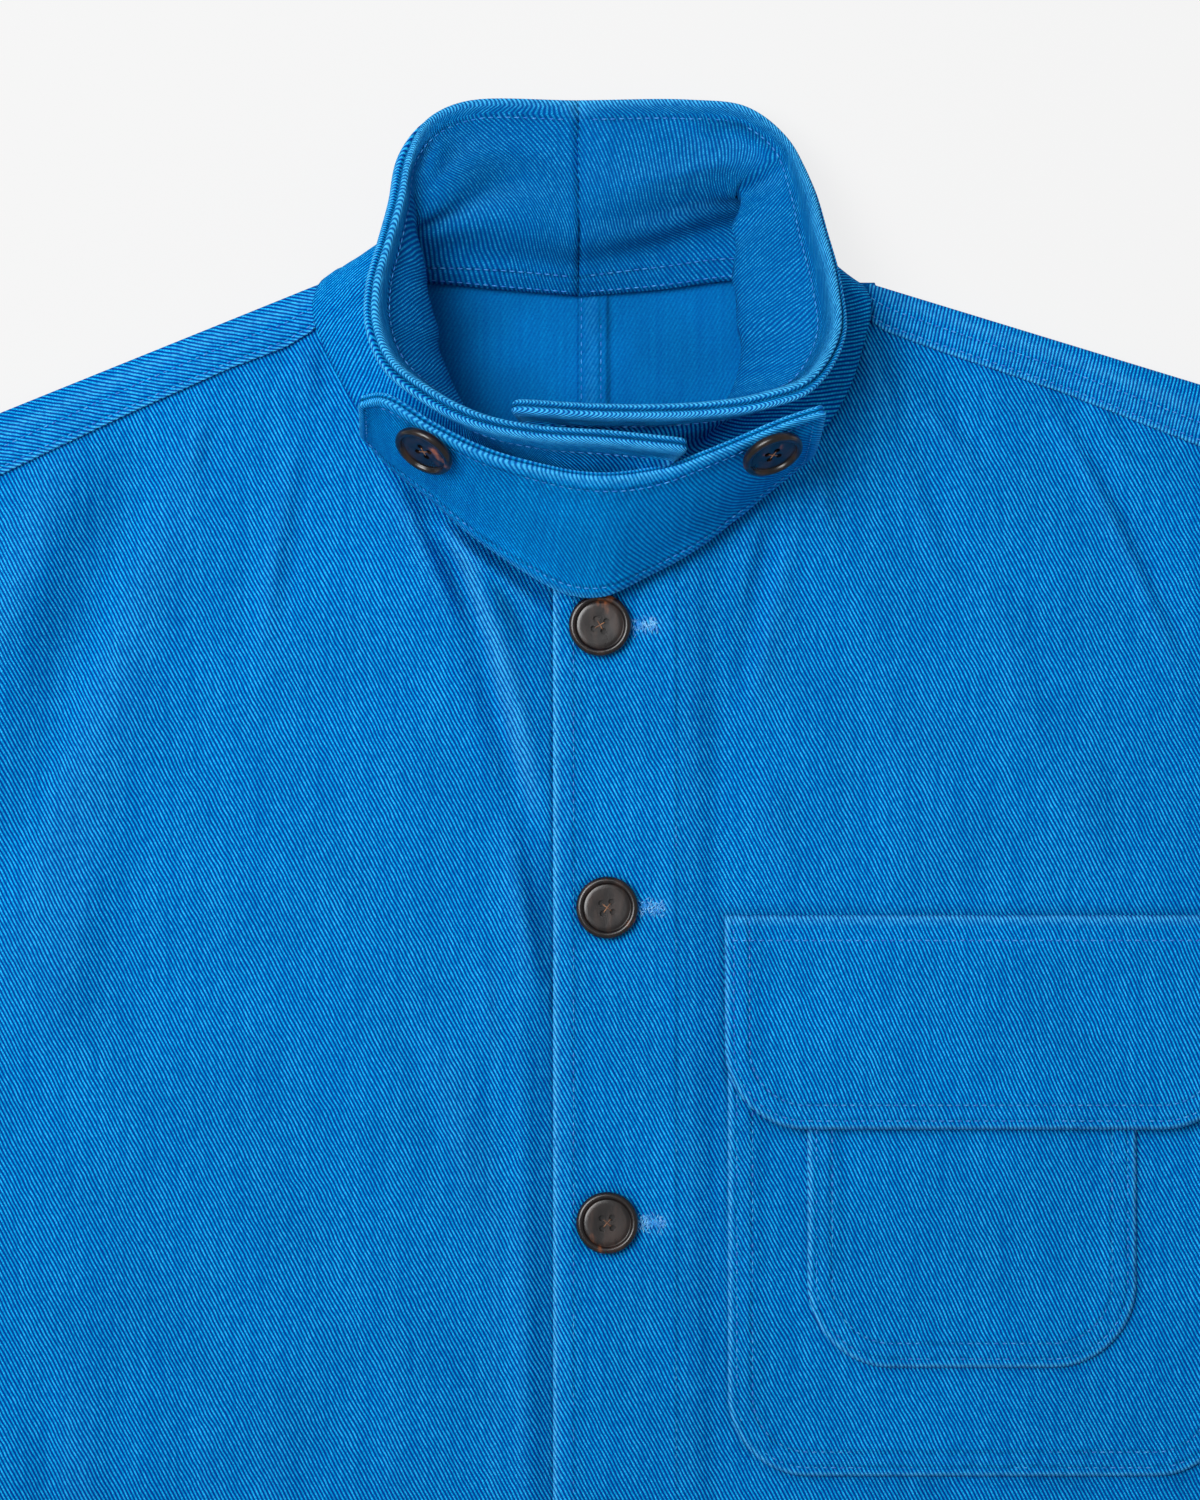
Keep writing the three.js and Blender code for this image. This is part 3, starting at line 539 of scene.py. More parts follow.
def shoulder_fold(side, x):
    (nx, ny), (ex, ey, _) = NECK_FOLD[side], SHOULDER[side]
    return ny + (ey - ny) * (x - nx) / (ex - nx)


def back_top(side, x):
    neck = 146.1 + 4.3 * smoothstep(np.abs(x), 0, 56) + 3 * (1 - smoothstep(np.abs(x), 58, 70))
    return np.where(x > NECK_FOLD[side][0] + SHOULDER_BACK, shoulder_fold(side, x) - SHOULDER_BACK, neck)


def back_piece(side, sign):
    start, wide, highest = -BACK_SEAM * sign, SHOULDER[side][0], 90
    felled = side == "right"
    across = steps(start, (start + 14, 0.8), (95, 2.6), (wide, 8))
    u = ((across - start) / (wide - start))[None, :]
    rows = steps(HEM_Y, (40, 12), (highest, 2.2))
    v = ((rows - HEM_Y) / (highest - HEM_Y))[:, None]
    top_y = back_top(side, lerp(start, wide, u))
    x = lerp(start, np.interp(rows, SIDE[:, 0], SIDE[:, 1])[:, None], u)
    y = lerp(rows[:, None], lerp(HEM_Y, top_y, v), smoothstep(1 - u, 0, 0.15))
    from_seam = x - start
    fell = 0.7 * (1 - smoothstep(from_seam, 8.6, 10)) if felled else 0 * x
    z = CLOTH + fell + 0.25 * soft_noise(x, y, 16, 21) * smoothstep(y, 0, 60)
    # pale wear over the fell, painted shade along its edge
    wear_and_shade = 0.1 * hump(from_seam, 4, 3) - 0.4 * hump(from_seam, 9.6, 0.6) if felled else 0 * x
    net = np.stack([sign * x, y, z], -1)
    edge = from_seam if felled else from_seam + 30
    obj = shell("back_" + side + "_cloth", net, net * (1, 1, 0), net[..., :2], wear_and_shade, edge,
                [BACK_INSIDE, BACK_FACE])
    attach(obj, "root")
    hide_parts("back_" + side)
    return obj


def shoulder_strip(side, sign):
    """The cloth piece, its outer net, and each point's distance from the seam."""
    t = np.linspace(0, 1, 90)[:, None]
    begin = NECK_FOLD[side][0] + 3.5
    fold_x = lerp(begin, SHOULDER[side][0], t)
    seam_x = lerp(begin, np.interp(SHOULDER[side][2], SIDE[:, 0], SIDE[:, 1]), t)
    fold_y = shoulder_fold(side, fold_x)
    seam_y = np.minimum(np.interp(seam_x, SEAM_LINE[side][:, 0], SEAM_LINE[side][:, 1]), fold_y - 5)
    seam_z = cloth_height(sign * seam_x, seam_y) + STRIP_SEAT
    front_y = np.interp(fold_x, FRONT_TOP[side][:, 0], FRONT_TOP[side][:, 1])
    points = []
    for behind, z in SHOULDER_SECTION:
        end = np.minimum(SHOULDER[side][0], np.interp(fold_y - behind, SIDE[:, 0], SIDE[:, 1]))
        points.append((lerp(begin, end, t), fold_y - behind, np.full_like(t, z)))
    for share in (0.15, 0.3, 0.45, 0.6, 0.75, 0.87, 0.95, 1.0):
        x = lerp(fold_x, seam_x, share)
        y = lerp(fold_y - behind, seam_y, share)
        bulge = 0.5 * math.sin(math.pi * share) + 0.12 * soft_noise(seam_x, y, 6, 31)
        z = lerp(SHOULDER_SECTION[-1][1], seam_z, share) + bulge
        over_front = cloth_height(sign * x, y) + STRIP_SEAT
        points.append((x, y, np.where(y < front_y + 2, np.maximum(z, over_front), z)))
    outer = np.stack([np.concatenate([point[k] for point in points], 1) for k in range(3)], -1) * (sign, 1, 1)
    along = np.gradient(outer[..., 1:], axis=1)
    along /= np.maximum(np.linalg.norm(along, axis=-1, keepdims=True), 1e-9)
    inner = outer.copy()
    inner[..., 1] -= along[..., 1] * CLOTH
    inner[..., 2] = np.maximum(inner[..., 2] + along[..., 0] * CLOTH, 0.02)
    edge = outer[..., 1] - seam_y
    wear_and_shade = 0.9 * hump(edge, 0, 1.2) + 0.25 * hump(edge, 5.5, 2.4) + 0.5 * hump(edge, 11.5, 1.8)
    obj = shell("shoulder_" + side + "_cloth", outer, inner, outer[..., :2], wear_and_shade, edge,
                [SHOULDER_CLOTH[side], REVERSE])
    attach(obj, "root")
    return obj, outer, edge


left_back = back_piece("left", -1)
left_strip, left_strip_net, left_strip_edge = shoulder_strip("left", -1)
right_back = back_piece("right", 1)
right_strip, right_strip_net, right_strip_edge = shoulder_strip("right", 1)


# Sleeves: a two-piece sleeve each, laid flat beside the body. Drill, felled, its upper piece arching a
# little over the under one.
SLEEVE_CLOTH = {"left": cloth_material("twill_sleeve_left", 88),
                "right": cloth_material("twill_sleeve_right", 32)}
SLEEVE_ANGLE = math.radians(60)
SLEEVE_LENGTH = 620.0
CUFF_WIDTH = 145.0
# how far the head of each piece laps over the body
UPPER_TUCK, UNDER_TUCK = 1.6, 0.4
# place down the sleeve, lift, width, slant
SLEEVE_FOLDS = [
    (0.3, 1.3, 0.05, 0.06), (0.42, -0.9, 0.04, 0.06), (0.55, 1.5, 0.05, 0.06), (0.83, 1.1, 0.04, 0.06),
    (0.12, 0.9, 0.035, 0.14), (0.21, -0.7, 0.03, 0.12), (0.37, 0.6, 0.02, -0.05), (0.48, -0.6, 0.025, 0.1),
    (0.64, -0.7, 0.03, 0.02), (0.72, 0.8, 0.03, -0.06), (0.91, -0.5, 0.025, 0.05),
]


def sleeve_net(side, sign, t, u, height, tuck):
    """Points of a sleeve piece: t down the sleeve, u from its fold to its underarm, tucked over the body."""
    ex, ey, _ = SHOULDER[side]
    fold = np.array([ex - tuck, ey - 0.5])
    down = np.array([math.cos(SLEEVE_ANGLE), -math.sin(SLEEVE_ANGLE)])
    inward = np.array([down[1], -down[0]])
    arm_y = lerp(fold[1], UNDERARM_Y, u)
    head_x = np.minimum(ex, np.interp(arm_y, SIDE[:, 0], SIDE[:, 1])) - tuck
    cuff = fold + down * SLEEVE_LENGTH
    cuff_x, cuff_y = cuff[0] + inward[0] * CUFF_WIDTH * u, cuff[1] + inward[1] * CUFF_WIDTH * u
    crown = 16 * np.sin(np.pi * np.minimum(t * 2.2, 1)) * (1 - u) ** 2
    x = lerp(head_x, cuff_x, t) + crown * math.sin(SLEEVE_ANGLE)
    y = lerp(arm_y, cuff_y, t) + crown * math.cos(SLEEVE_ANGLE)
    return np.stack([sign * x, y, height + 0 * x], -1)


def sleeve(side, sign):
    t = steps(0, (0.01, 0.003), (0.5, 0.009), (0.99, 0.014), (1, 0.003))[:, None]
    u = steps(0, (0.05, 0.006), (0.95, 0.03), (1, 0.01))[None, :]
    arch = np.sqrt(np.clip(1 - (2 * u - 1) ** 4, 0, 1))
    z = FRONT_FLAT + 3.2 * arch + 0 * t
    for at, lift, width, slant in SLEEVE_FOLDS:
        off = (t + slant * (u - 0.5) - at) / width
        z = z + lift * arch * np.exp(-off * off) * (1 - 0.6 * u)
    z = z + 0.35 * arch * soft_noise(t * 600, u * 200, 22, 41) - 0.5 * (1 - smoothstep(t, 0, 0.02)) * arch
    z = z + 0.4 * smoothstep(t, 0.955, 0.96)
    upper = sleeve_net(side, sign, t, u, z, UPPER_TUCK)
    under = sleeve_net(side, sign, t, u, CLOTH + 0.06, UNDER_TUCK)
    cloth = upper[..., :2]
    wear_and_shade = 0.6 * hump(1 - t, 0, 0.003) + 0.2 * hump(t, 0, 0.002) + 0 * u
    edge = t * 600 + 0 * u
    top = shell("sleeve_upper_" + side + "_cloth", upper, upper - (0, 0, CLOTH), cloth, wear_and_shade, edge,
                [SLEEVE_CLOTH[side], REVERSE])
    low_side = shell("sleeve_under_" + side + "_cloth", under, under - (0, 0, CLOTH), cloth, wear_and_shade, edge,
                     [REVERSE, SLEEVE_CLOTH[side]])
    for obj, node in ((top, "sleeve_upper_" + side), (low_side, "sleeve_under_" + side)):
        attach(obj, "root")
        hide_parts(node)
    return top, low_side


left_sleeve, left_under = sleeve("left", -1)
right_sleeve, right_under = sleeve("right", 1)


# Collar: a stand of two plies of drill in halves, with a seam at the centre back. Its rim is a bead of both
# plies with the seam groove between them. Opened to an oval, the back leans away, and the sides and the
# front roll in.
# columns: seam, tuck, roll and rim points of one section, from the centre back to the front end
COLLAR = {
    "left": [
        ((-6.9, 146.8, 2.3), (-6.9, 156, 8), (-6.9, 166, 16.5), (-6.9, 208, 8)),
        ((-32, 148.8, 2.4), (-29, 158, 8), (-25.5, 169, 17), (-43, 207.5, 10)),
        ((-56.5, 151.2, 3), (-50, 160, 9), (-43, 172, 19), (-56, 201, 16)),
        ((-77, 151.8, 7), (-69, 160, 13), (-60, 171, 23), (-62, 190, 26)),
        ((-87.5, 149.5, 10.5), (-76, 157, 16), (-60, 164, 27), (-65, 174, 38)),
        ((-91.5, 141.5, 12), (-78, 148, 17), (-58, 154, 29), (-68.5, 160, 48)),
        ((-88.5, 131, 11.5), (-75, 138, 18), (-56, 144, 31), (-72, 146, 56)),
        ((-82.5, 119, 11.5), (-69, 126, 19), (-53, 132, 32), (-72, 133, 61)),
        ((-74.5, 106.5, 11.5), (-63, 113, 20), (-50, 121, 34), (-67, 121, 64)),
        ((-61.5, 90.5, 11.5), (-53, 98, 22), (-44, 108, 36), (-56, 112, 64)),
        ((-42, 71.5, 12), (-37, 81, 23), (-30, 92, 37), (-40, 104, 63)),
        ((-23, 58.5, 13), (-18.5, 71, 24), (-13, 84, 36), (-21, 100, 62)),
        ((-8, 53.5, 14), (-5.5, 67, 24), (-2, 81.5, 35), (2, 98.5, 61)),
        ((2, 52.5, 14), (5, 66.5, 24), (11, 81, 35), (28.5, 96, 59)),
    ],
    "right": [
        ((-6.9, 146.8, 2.3), (-6.9, 156, 8), (-6.9, 166, 16.5), (-6.9, 208, 8)),
        ((20, 148.4, 2.4), (18, 162, 6), (16, 170, 18), (29, 208, 9)),
        ((41, 151.2, 3), (37, 168, 7), (34, 175, 20), (47, 205.5, 11)),
        ((64, 151.8, 6), (54, 170, 9), (45, 178, 22), (60, 195, 18)),
        ((80, 149.5, 9), (66, 160, 13), (44, 166, 24), (67.5, 180, 27)),
        ((86, 143.5, 12), (66, 150, 17), (43, 153, 26), (71.5, 165, 36)),
        ((83.5, 129, 12), (66, 136, 18), (44, 140, 28), (75.5, 147, 47)),
        ((77, 112, 11.5), (63, 120, 19), (46, 127, 30), (76, 130, 54)),
        ((62, 93, 11.5), (53, 103, 20), (42, 112, 31), (67, 115.5, 57)),
        ((43, 77, 12), (38, 88, 20), (32, 100, 31), (52, 110, 57)),
        ((22, 67, 13), (20, 80, 21), (17, 93.5, 31), (34, 107.5, 56)),
        ((10, 64, 14), (7, 78, 21), (3, 92, 31), (4, 107, 54)),
        ((6, 63, 14), (-2, 77, 21), (-14, 92, 31), (-29, 109, 52)),
    ],
}
COLLAR_WALL, COLLAR_RIM = 3.0, 5.6
COLLAR_TALL = 64.0
COLLAR_LONG = {"left": 205.0, "right": 190.0}
# radius of a turned corner
TURNED_CORNER = 2.5
COLLAR_OUT = cloth_material("twill_collar_outside", 121, grooves=(6.5,))
COLLAR_IN = cloth_material("twill_collar_inside", 62, 0.15, (6.5, 58.0), INNER_GROUND_SHADED, INNER_WALE_SHADED)
# creases in the collar's flat form: the columns of the fronts' creases, x along it from the centre back, y
# up from its seam
COLLAR_CREASES = {
    "left": [
        (2, 38, 56, 28, 2, 2.4, 4.5), (6, 47, 54, 38, 2, -1.8, 5), (26, 60, 46, 46, 0, -2, 4),
        (20, 56, 40, 60, 0, 1.6, 3), (48, 50, 62, 34, 0, 1.2, 5), (78, 44, 84, 12, 0, 1.2, 6),
        (112, 40, 118, 10, 0, -1.2, 6), (150, 50, 152, 20, 0, 1.0, 6),
    ],
    "right": [
        (-6, 25, 60, 43, -2, 3.0, 4.5), (-4, 34, 56, 50, -2, -2.2, 5), (16, 50, 50, 54, 2, 2.2, 3),
        (20, 55, 52, 58, 2, -1.8, 3), (14, 57, 27, 46, 2, 1.4, 3), (49, 38, 56, 62, 0, 2.4, 3.5),
        (62, 50, 72, 30, 0, -1.0, 5), (96, 44, 100, 14, 0, 1.0, 6), (140, 46, 143, 16, 0, -0.9, 6),
    ],
}


def catmull(points, t):
    """Centripetal Catmull-Rom curve through the points, at places from 0 to 1."""
    p = np.asarray(points, float)
    ends = np.concatenate([[2 * p[0] - p[1]], p, [2 * p[-1] - p[-2]]])
    place = np.clip(np.asarray(t, float), 0, 1) * (len(p) - 1)
    i = np.minimum(place.astype(int), len(p) - 2)
    w = (place - i)[..., None]
    x0, x1, x2, x3 = (ends[i + k] for k in range(4))
    spans = [np.linalg.norm(b - a, axis=-1, keepdims=True) for a, b in ((x0, x1), (x1, x2), (x2, x3))]
    d0, d1, d2 = (np.maximum(span, 1e-6) ** 0.5 for span in spans)
    t1 = ((x1 - x0) / d0 - (x2 - x0) / (d0 + d1) + (x2 - x1) / d1) * d1
    t2 = ((x2 - x1) / d1 - (x3 - x1) / (d1 + d2) + (x3 - x2) / d2) * d1
    return x1 + w * (t1 + w * (-3 * x1 + 3 * x2 - 2 * t1 - t2 + w * (2 * x1 - 2 * x2 + t1 + t2)))


def collar_surface(side, t, h):
    """Points half way through the wall: t along the collar from the centre back, h from seam to rim."""
    t, h = np.broadcast_arrays(np.asarray(t, float), np.asarray(h, float))
    sections = np.array(COLLAR[side], float)
    lines = np.stack([catmull(sections[:, k], t.ravel()) for k in range(4)])
    ladder = np.stack([catmull(lines, rung) for rung in np.linspace(0, 1, 49)])
    length = np.cumsum(np.linalg.norm(np.diff(ladder, axis=0, prepend=ladder[:1]), axis=-1), axis=0)
    goal = np.clip(h.ravel(), 0, 1) * length[-1]
    i, n = (length[1:-1] <= goal).sum(0), np.arange(len(goal))
    share = (goal - length[i, n]) / (length[i + 1, n] - length[i, n])
    return lerp(ladder[i, n], ladder[i + 1, n], share[:, None]).reshape(*t.shape, 3)


def normals_of(surface, t, h):
    n = np.cross(surface(t + 0.004, h) - surface(t - 0.004, h), surface(t, h + 0.01) - surface(t, h - 0.01))
    return n / np.maximum(np.linalg.norm(n, axis=-1, keepdims=True), 1e-9)


def bead(thickness):
    """Of a turned edge of two plies: inset from the edge and share of the half thickness, from the groove."""
    a = np.radians([158, 135, 112, 90, 65, 40, 18, 0])
    return thickness / 4 * (1 - np.sin(a)), (1 + np.cos(a)) / 2


def turned_ends(places, size, thickness, low, high):
    """Places across a two-ply piece and the share of its half thickness there, the ends asked for turned."""
    inset, share = bead(thickness)
    shares = np.ones(len(places))
    if low:
        places = np.concatenate([inset / size, places[1:]])
        shares = np.concatenate([share, shares[1:]])
    if high:
        places = np.concatenate([places[:-1], 1 - inset[::-1] / size])
        shares = np.concatenate([shares[:-1], share[::-1]])
    return places, shares


def collar_half(side, sign):
    size, corner = COLLAR_LONG[side], TURNED_CORNER
    t_places = steps(0, (1 - 3.2 / size, 1.7 / size), (1, 2 / size))
    h_places = steps(0, (0.3, 0.03), (0.86, 0.035), (1 - 2.6 / COLLAR_TALL, 0.02), (1, 0.04))
    ts, t_share = turned_ends(t_places, size, COLLAR_RIM, False, True)
    hs, h_share = turned_ends(h_places, COLLAR_TALL, COLLAR_RIM, False, True)
    share = t_share[:, None] * h_share[None, :]
    t, h = np.meshgrid(ts, hs, indexing="ij")
    x, y = t * size, h * COLLAR_TALL
    from_end, from_rim = (1 - t) * size, (1 - h) * COLLAR_TALL
    drop = corner - np.sqrt(np.clip(corner**2 - np.clip(corner - from_end, 0, corner) ** 2, 0, None))
    h_used = h * (1 - drop / COLLAR_TALL)
    mid = collar_surface(side, t, h_used)
    out = normals_of(lambda t, h: collar_surface(side, t, h), t, h_used)
    out = -out if np.mean(out[len(ts) // 2, :, 0]) * sign < 0 else out
    between = smoothstep(h, 0.08, 0.3) * (1 - smoothstep(h, 0.75, 0.95))
    dents = 0.7 * soft_noise(x, y, 15, 51 + len(side)) * between
    dents += creased(COLLAR_CREASES[side], x, y) * smoothstep(from_rim, 6, 12)
    dents += 0.22 * soft_noise(x, y, 5.5, 57) * hump(from_rim, 7, 5)
    mid = mid + out * dents[..., None]
    nearest = np.minimum(from_rim, from_end)
    thick = lerp(COLLAR_WALL, COLLAR_RIM, 1 - smoothstep(nearest, 5.4, 8.2))
    thick = thick + 0.9 * (1 - smoothstep(y, 5.5, 7.5)) - 0.14 * hump(x, 0, 0.8)
    half = (thick / 2 * share)[..., None]
    outer, inner = mid + out * half, mid - out * half
    wear_and_shade = 1.0 * hump(nearest, 0, 2.2) * smoothstep(share, 0.2, 0.5)
    # pale wear on the creases' ridges, and painted shade in their troughs
    wear_and_shade = wear_and_shade + 0.08 * creased(COLLAR_CREASES[side], x, y)
    # painted shade in the groove between the rim's two plies
    wear_and_shade = wear_and_shade - 0.5 * (1 - smoothstep(share, 0.03, 0.4)) * (nearest < 3)
    below_rim = smoothstep(from_rim, 6, 8)
    # pale wear at the centre back of the rim, painted shade in the centre-back seam below it
    wear_and_shade = wear_and_shade + 0.4 * hump(x, 0, 1.6) * (1 - below_rim) - 0.05 * hump(x, 0, 0.6) * below_rim
    run = np.cumsum(np.linalg.norm(np.diff(mid, axis=0, prepend=mid[:1]), axis=-1), axis=0)
    run = lerp(run, run.mean(1, keepdims=True), smoothstep(from_rim, 2, 6))
    rise = np.cumsum(np.linalg.norm(np.diff(outer, axis=1, prepend=outer[:, :1]), axis=-1), axis=1)
    cloth = np.stack([run * sign, rise], -1)
    obj = shell("collar_" + side + "_cloth", outer, inner, cloth, wear_and_shade, nearest, [COLLAR_OUT, COLLAR_IN])
    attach(obj, "root")
    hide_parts("collar_" + side)
    return obj


left_collar = collar_half("left", -1)
right_collar = collar_half("right", 1)


# Chin strap: two plies with the brushed side out, pointed towards the chest, turned and stitched all round.
# columns: upper edge and lower edge of one section, from the left end to the right end
STRAP = [
    ((-76, 110, 51), (-75.5, 101, 24)), ((-68, 111, 54), (-66, 91, 18)),
    ((-52.5, 102, 54.5), (-54, 81.5, 16.5)), ((-37, 94.5, 54.5), (-41, 70, 17)),
    ((-20, 89.6, 53.5), (-25, 58.5, 18)), ((-6, 87, 52.5), (-10, 50.3, 20)),
    ((8, 86.6, 52.5), (0, 49.6, 20.2)), ((20, 88.5, 52.5), (14, 56, 18)),
    ((32, 92.8, 53.5), (27, 63, 17)), ((44, 97.6, 54.5), (40, 72.5, 16.5)),
    ((57, 103, 55.5), (54, 84, 17.5)), ((71, 107.5, 55.5), (67.5, 95, 22)),
]
STRAP_LONG, STRAP_TALL, STRAP_EDGE = 168.0, 42.0, 3.6
STRAP_ROW = 4.2
STRAP_CLOTH = cloth_material("twill_strap", 50, nap=0.5, grooves=(STRAP_ROW,))


def strap_surface(t, h):
    sections = np.array(STRAP, float)
    t, h = np.broadcast_arrays(np.asarray(t, float), np.asarray(h, float))
    lower, upper = (catmull(sections[:, k], t.ravel()).reshape(*t.shape, 3) for k in (1, 0))
    p = lerp(lower, upper, h[..., None])
    p[..., 1] -= 1.6 * np.sin(np.pi * np.clip(h, 0, 1))
    return p


def strap_piece():
    t_places = steps(0, (2.4 / STRAP_LONG, 0.02), (1 - 2.4 / STRAP_LONG, 1.3 / STRAP_LONG), (1, 0.02))
    h_places = steps(0, (2.4 / STRAP_TALL, 0.06), (1 - 2.4 / STRAP_TALL, 1.4 / STRAP_TALL), (1, 0.06))
    ts, t_share = turned_ends(t_places, STRAP_LONG, STRAP_EDGE, True, True)
    hs, h_share = turned_ends(h_places, STRAP_TALL, STRAP_EDGE, True, True)
    share = t_share[:, None] * h_share[None, :]
    t, h = np.meshgrid(ts, hs, indexing="ij")
    x, y = t * STRAP_LONG, h * STRAP_TALL
    across, up = np.minimum(x, STRAP_LONG - x), np.minimum(y, STRAP_TALL - y)
    nearest = np.minimum(across, up)
    drawn_in = TURNED_CORNER - np.sqrt(TURNED_CORNER**2 - np.clip(TURNED_CORNER - up, 0, TURNED_CORNER) ** 2)
    mid = strap_surface(0.5 + (t - 0.5) * (1 - 2 * drawn_in / STRAP_LONG), h)
    out = normals_of(strap_surface, t, h)
    out = out if np.mean(out[..., 1]) < 0 else -out
    dents = 0.45 * soft_noise(x, y, 17, 61) * smoothstep(nearest, 2, 9)
    dents = dents + 0.16 * soft_noise(x, y, 5, 63) * hump(nearest, 4, 4)
    mid = mid + out * (dents - 0.9 * hump(x, 99, 13) * smoothstep(h, 0, 0.6))[..., None]
    thick = lerp(2.5, STRAP_EDGE, 1 - smoothstep(nearest, 3.6, 5.4))
    half = (thick / 2 * share)[..., None]
    wear_and_shade = 0.85 * hump(nearest, 0, 1.8) * smoothstep(share, 0.2, 0.5)
    # painted shade in the groove between the edge's two plies
    wear_and_shade = wear_and_shade - 0.6 * (1 - smoothstep(share, 0.03, 0.48)) * (nearest < 2)
    cloth = np.stack([x, y], -1)
    obj = shell("chin_strap_cloth", mid + out * half, mid - out * half, cloth, wear_and_shade, nearest, [STRAP_CLOTH])
    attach(obj, "root")
    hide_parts("chin_strap")
    return obj


strap = strap_piece()


# Chest pocket with a small pocket on it and a flap over both: drill, turned in and sewn with two rows at
# the sides and below. The flap is two plies, stitched down along its top fold.
# sewn rows, in mm from the edge
EDGE_ROWS = (2.9, 7.9)
POCKET_CLOTH = cloth_material("twill_pocket", 62, grooves=EDGE_ROWS)
PATCH_CLOTH = cloth_material("twill_patch", 64, grooves=EDGE_ROWS)
FLAP_CLOTH = cloth_material("twill_flap", 65, grooves=EDGE_ROWS)


def right_height(x, y):
    return cloth_height(x, y) + lap(x)


def pocket_base(x, y):
    return right_height(x, y) + 0.7


def patch_base(x, y):
    return right_height(x, y) + 2.7


def flap_base(x, y):
    over_pockets = 2.2 * smoothstep(-y, 56, 62) + 2.0 * smoothstep(-y, 76, 92)
    kick = 1.7 * smoothstep(-y, 64, 121) + 0.5 * soft_noise(x, 0 * y, 28, 71) * smoothstep(-y, 90, 121)
    return right_height(x, y) + 0.4 + over_pockets + kick


def turned_in(distance):
    """How much a piece stands up over the cloth that is turned in along its edge."""
    return 0.55 * (1 - smoothstep(distance, 8.3, 10))


def laid_piece(name, node, piece, base, material, top_fold_wear_and_highlight, shade=lambda x, y: 0 * x):
    x0, x1, top, bottom, corner, thick = piece
    rows = steps(top, (top - 1.5, 0.4), (bottom + corner, 2.2), (bottom + 4, 1.1), (bottom, 0.35))
    inner = np.clip(corner - (rows - bottom), 0, corner)
    inset = corner - np.sqrt(np.clip(corner**2 - inner**2, 0, None))
    width = (x1 - x0) - 2 * inset
    fine = steps(0, (2.0, 0.35), (9, 1.4))
    middle = np.linspace(9, x1 - x0 - 9, int((x1 - x0 - 18) / 2.3))[1:-1]
    across = np.concatenate([fine, middle, x1 - x0 - fine[::-1]]) / (x1 - x0)
    x = (x0 + inset)[:, None] + across[None, :] * width[:, None]
    y = rows[:, None] + 0 * x
    distance = np.maximum(outline_distance(piece, x, y), 0)
    with_top = np.minimum(distance, top - y)
    radius = thick * 0.62
    share = np.sqrt(np.clip(1 - (1 - np.clip(with_top / radius, 0, 1)) ** 2, 0.02, 1))
    z = base(x, y)
    crimp = 0.2 * soft_noise(x, y, 5.0, 81 + len(name)) * hump(distance, 5, 5)
    upper = z + thick * share + (turned_in(distance) + crimp) * smoothstep(with_top, 0, 1.2)
    wear_and_shade = shade(x, y) + 1.3 * hump(distance, 0.4, 0.8) + 0.06 * (1 - smoothstep(distance, 3, 9))
    # pale wear and painted highlight along the top fold
    wear_and_shade = wear_and_shade + top_fold_wear_and_highlight * hump(top - y, 0.6, 1.1)
    net = np.stack([x, y, upper], -1)
    obj = shell(name, net, np.stack([x, y, z], -1), net[..., :2], wear_and_shade, distance, [material, REVERSE])
    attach(obj, "root")
    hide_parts(node)
    return obj


pocket = laid_piece("chest_pocket_cloth", "chest_pocket", POCKET, pocket_base, POCKET_CLOTH, 0,
                    lambda x, y: shaded_by(FLAP, x, y, 3.0, 0.15) + shaded_by(PATCH, x, y, 1.8, 0.12))
patch = laid_piece("pocket_patch_cloth", "pocket_patch", PATCH, patch_base, PATCH_CLOTH, 0,
                   lambda x, y: shaded_by(FLAP, x, y, 3.0, 0.15))
flap = laid_piece("pocket_flap_cloth", "pocket_flap", FLAP, flap_base, FLAP_CLOTH, 0.8)


# Buttons: polished dark horn with amber streaks, four holes, a broad raised rim and a flat dished middle.
# Each is turned from one profile and has its holes cut out.
def horn_material():
    material, tree, shader = new_material("horn")
    shader.inputs["Coat Weight"].default_value = 0.15
    shader.inputs["Coat Roughness"].default_value = 0.12
    place = tree.nodes.new("ShaderNodeTexCoord").outputs["Object"]
    stretched = vector_calc(tree, "MULTIPLY", place, (1.0, 0.28, 1.0))
    streak = noise(tree, stretched, 260, 5, 0.6).outputs["Fac"]
    cloud = noise(tree, place, 110, 3, 0.5).outputs["Fac"]
    colour = mix_colour(tree, ramp_range(tree, streak, 0.42, 0.7), srgb(17, 11, 11), srgb(46, 30, 24))
    amber = calc(tree, "MULTIPLY", ramp_range(tree, cloud, 0.63, 0.76), ramp_range(tree, streak, 0.4, 0.62))
    colour = mix_colour(tree, amber, colour, srgb(176, 100, 52))
    tree.links.new(colour, shader.inputs["Base Color"])
    tree.links.new(calc(tree, "MULTIPLY_ADD", streak, 0.22, 0.2), shader.inputs["Roughness"])
    tree.links.new(bumped(tree, streak, 0.00006).outputs[0], shader.inputs["Normal"])
    return material


HORN = horn_material()
BUTTON_RADIUS, BUTTON_HEIGHT = 10.0, 3.6
# from the button's middle to a hole, along each axis
BUTTON_HOLES = 1.65
# share of the radius, share of the height
BUTTON_PROFILE = [(0, 0), (0.7, 0), (0.86, 0.08), (0.95, 0.24), (0.99, 0.42), (1, 0.56), (0.995, 0.72),
                  (0.975, 0.86), (0.94, 0.95), (0.9, 0.99), (0.86, 1), (0.82, 0.97), (0.79, 0.9), (0.775, 0.78),
                  (0.76, 0.7), (0.735, 0.67), (0.71, 0.69), (0.6, 0.7), (0.4, 0.68), (0.2, 0.67), (0, 0.67)]

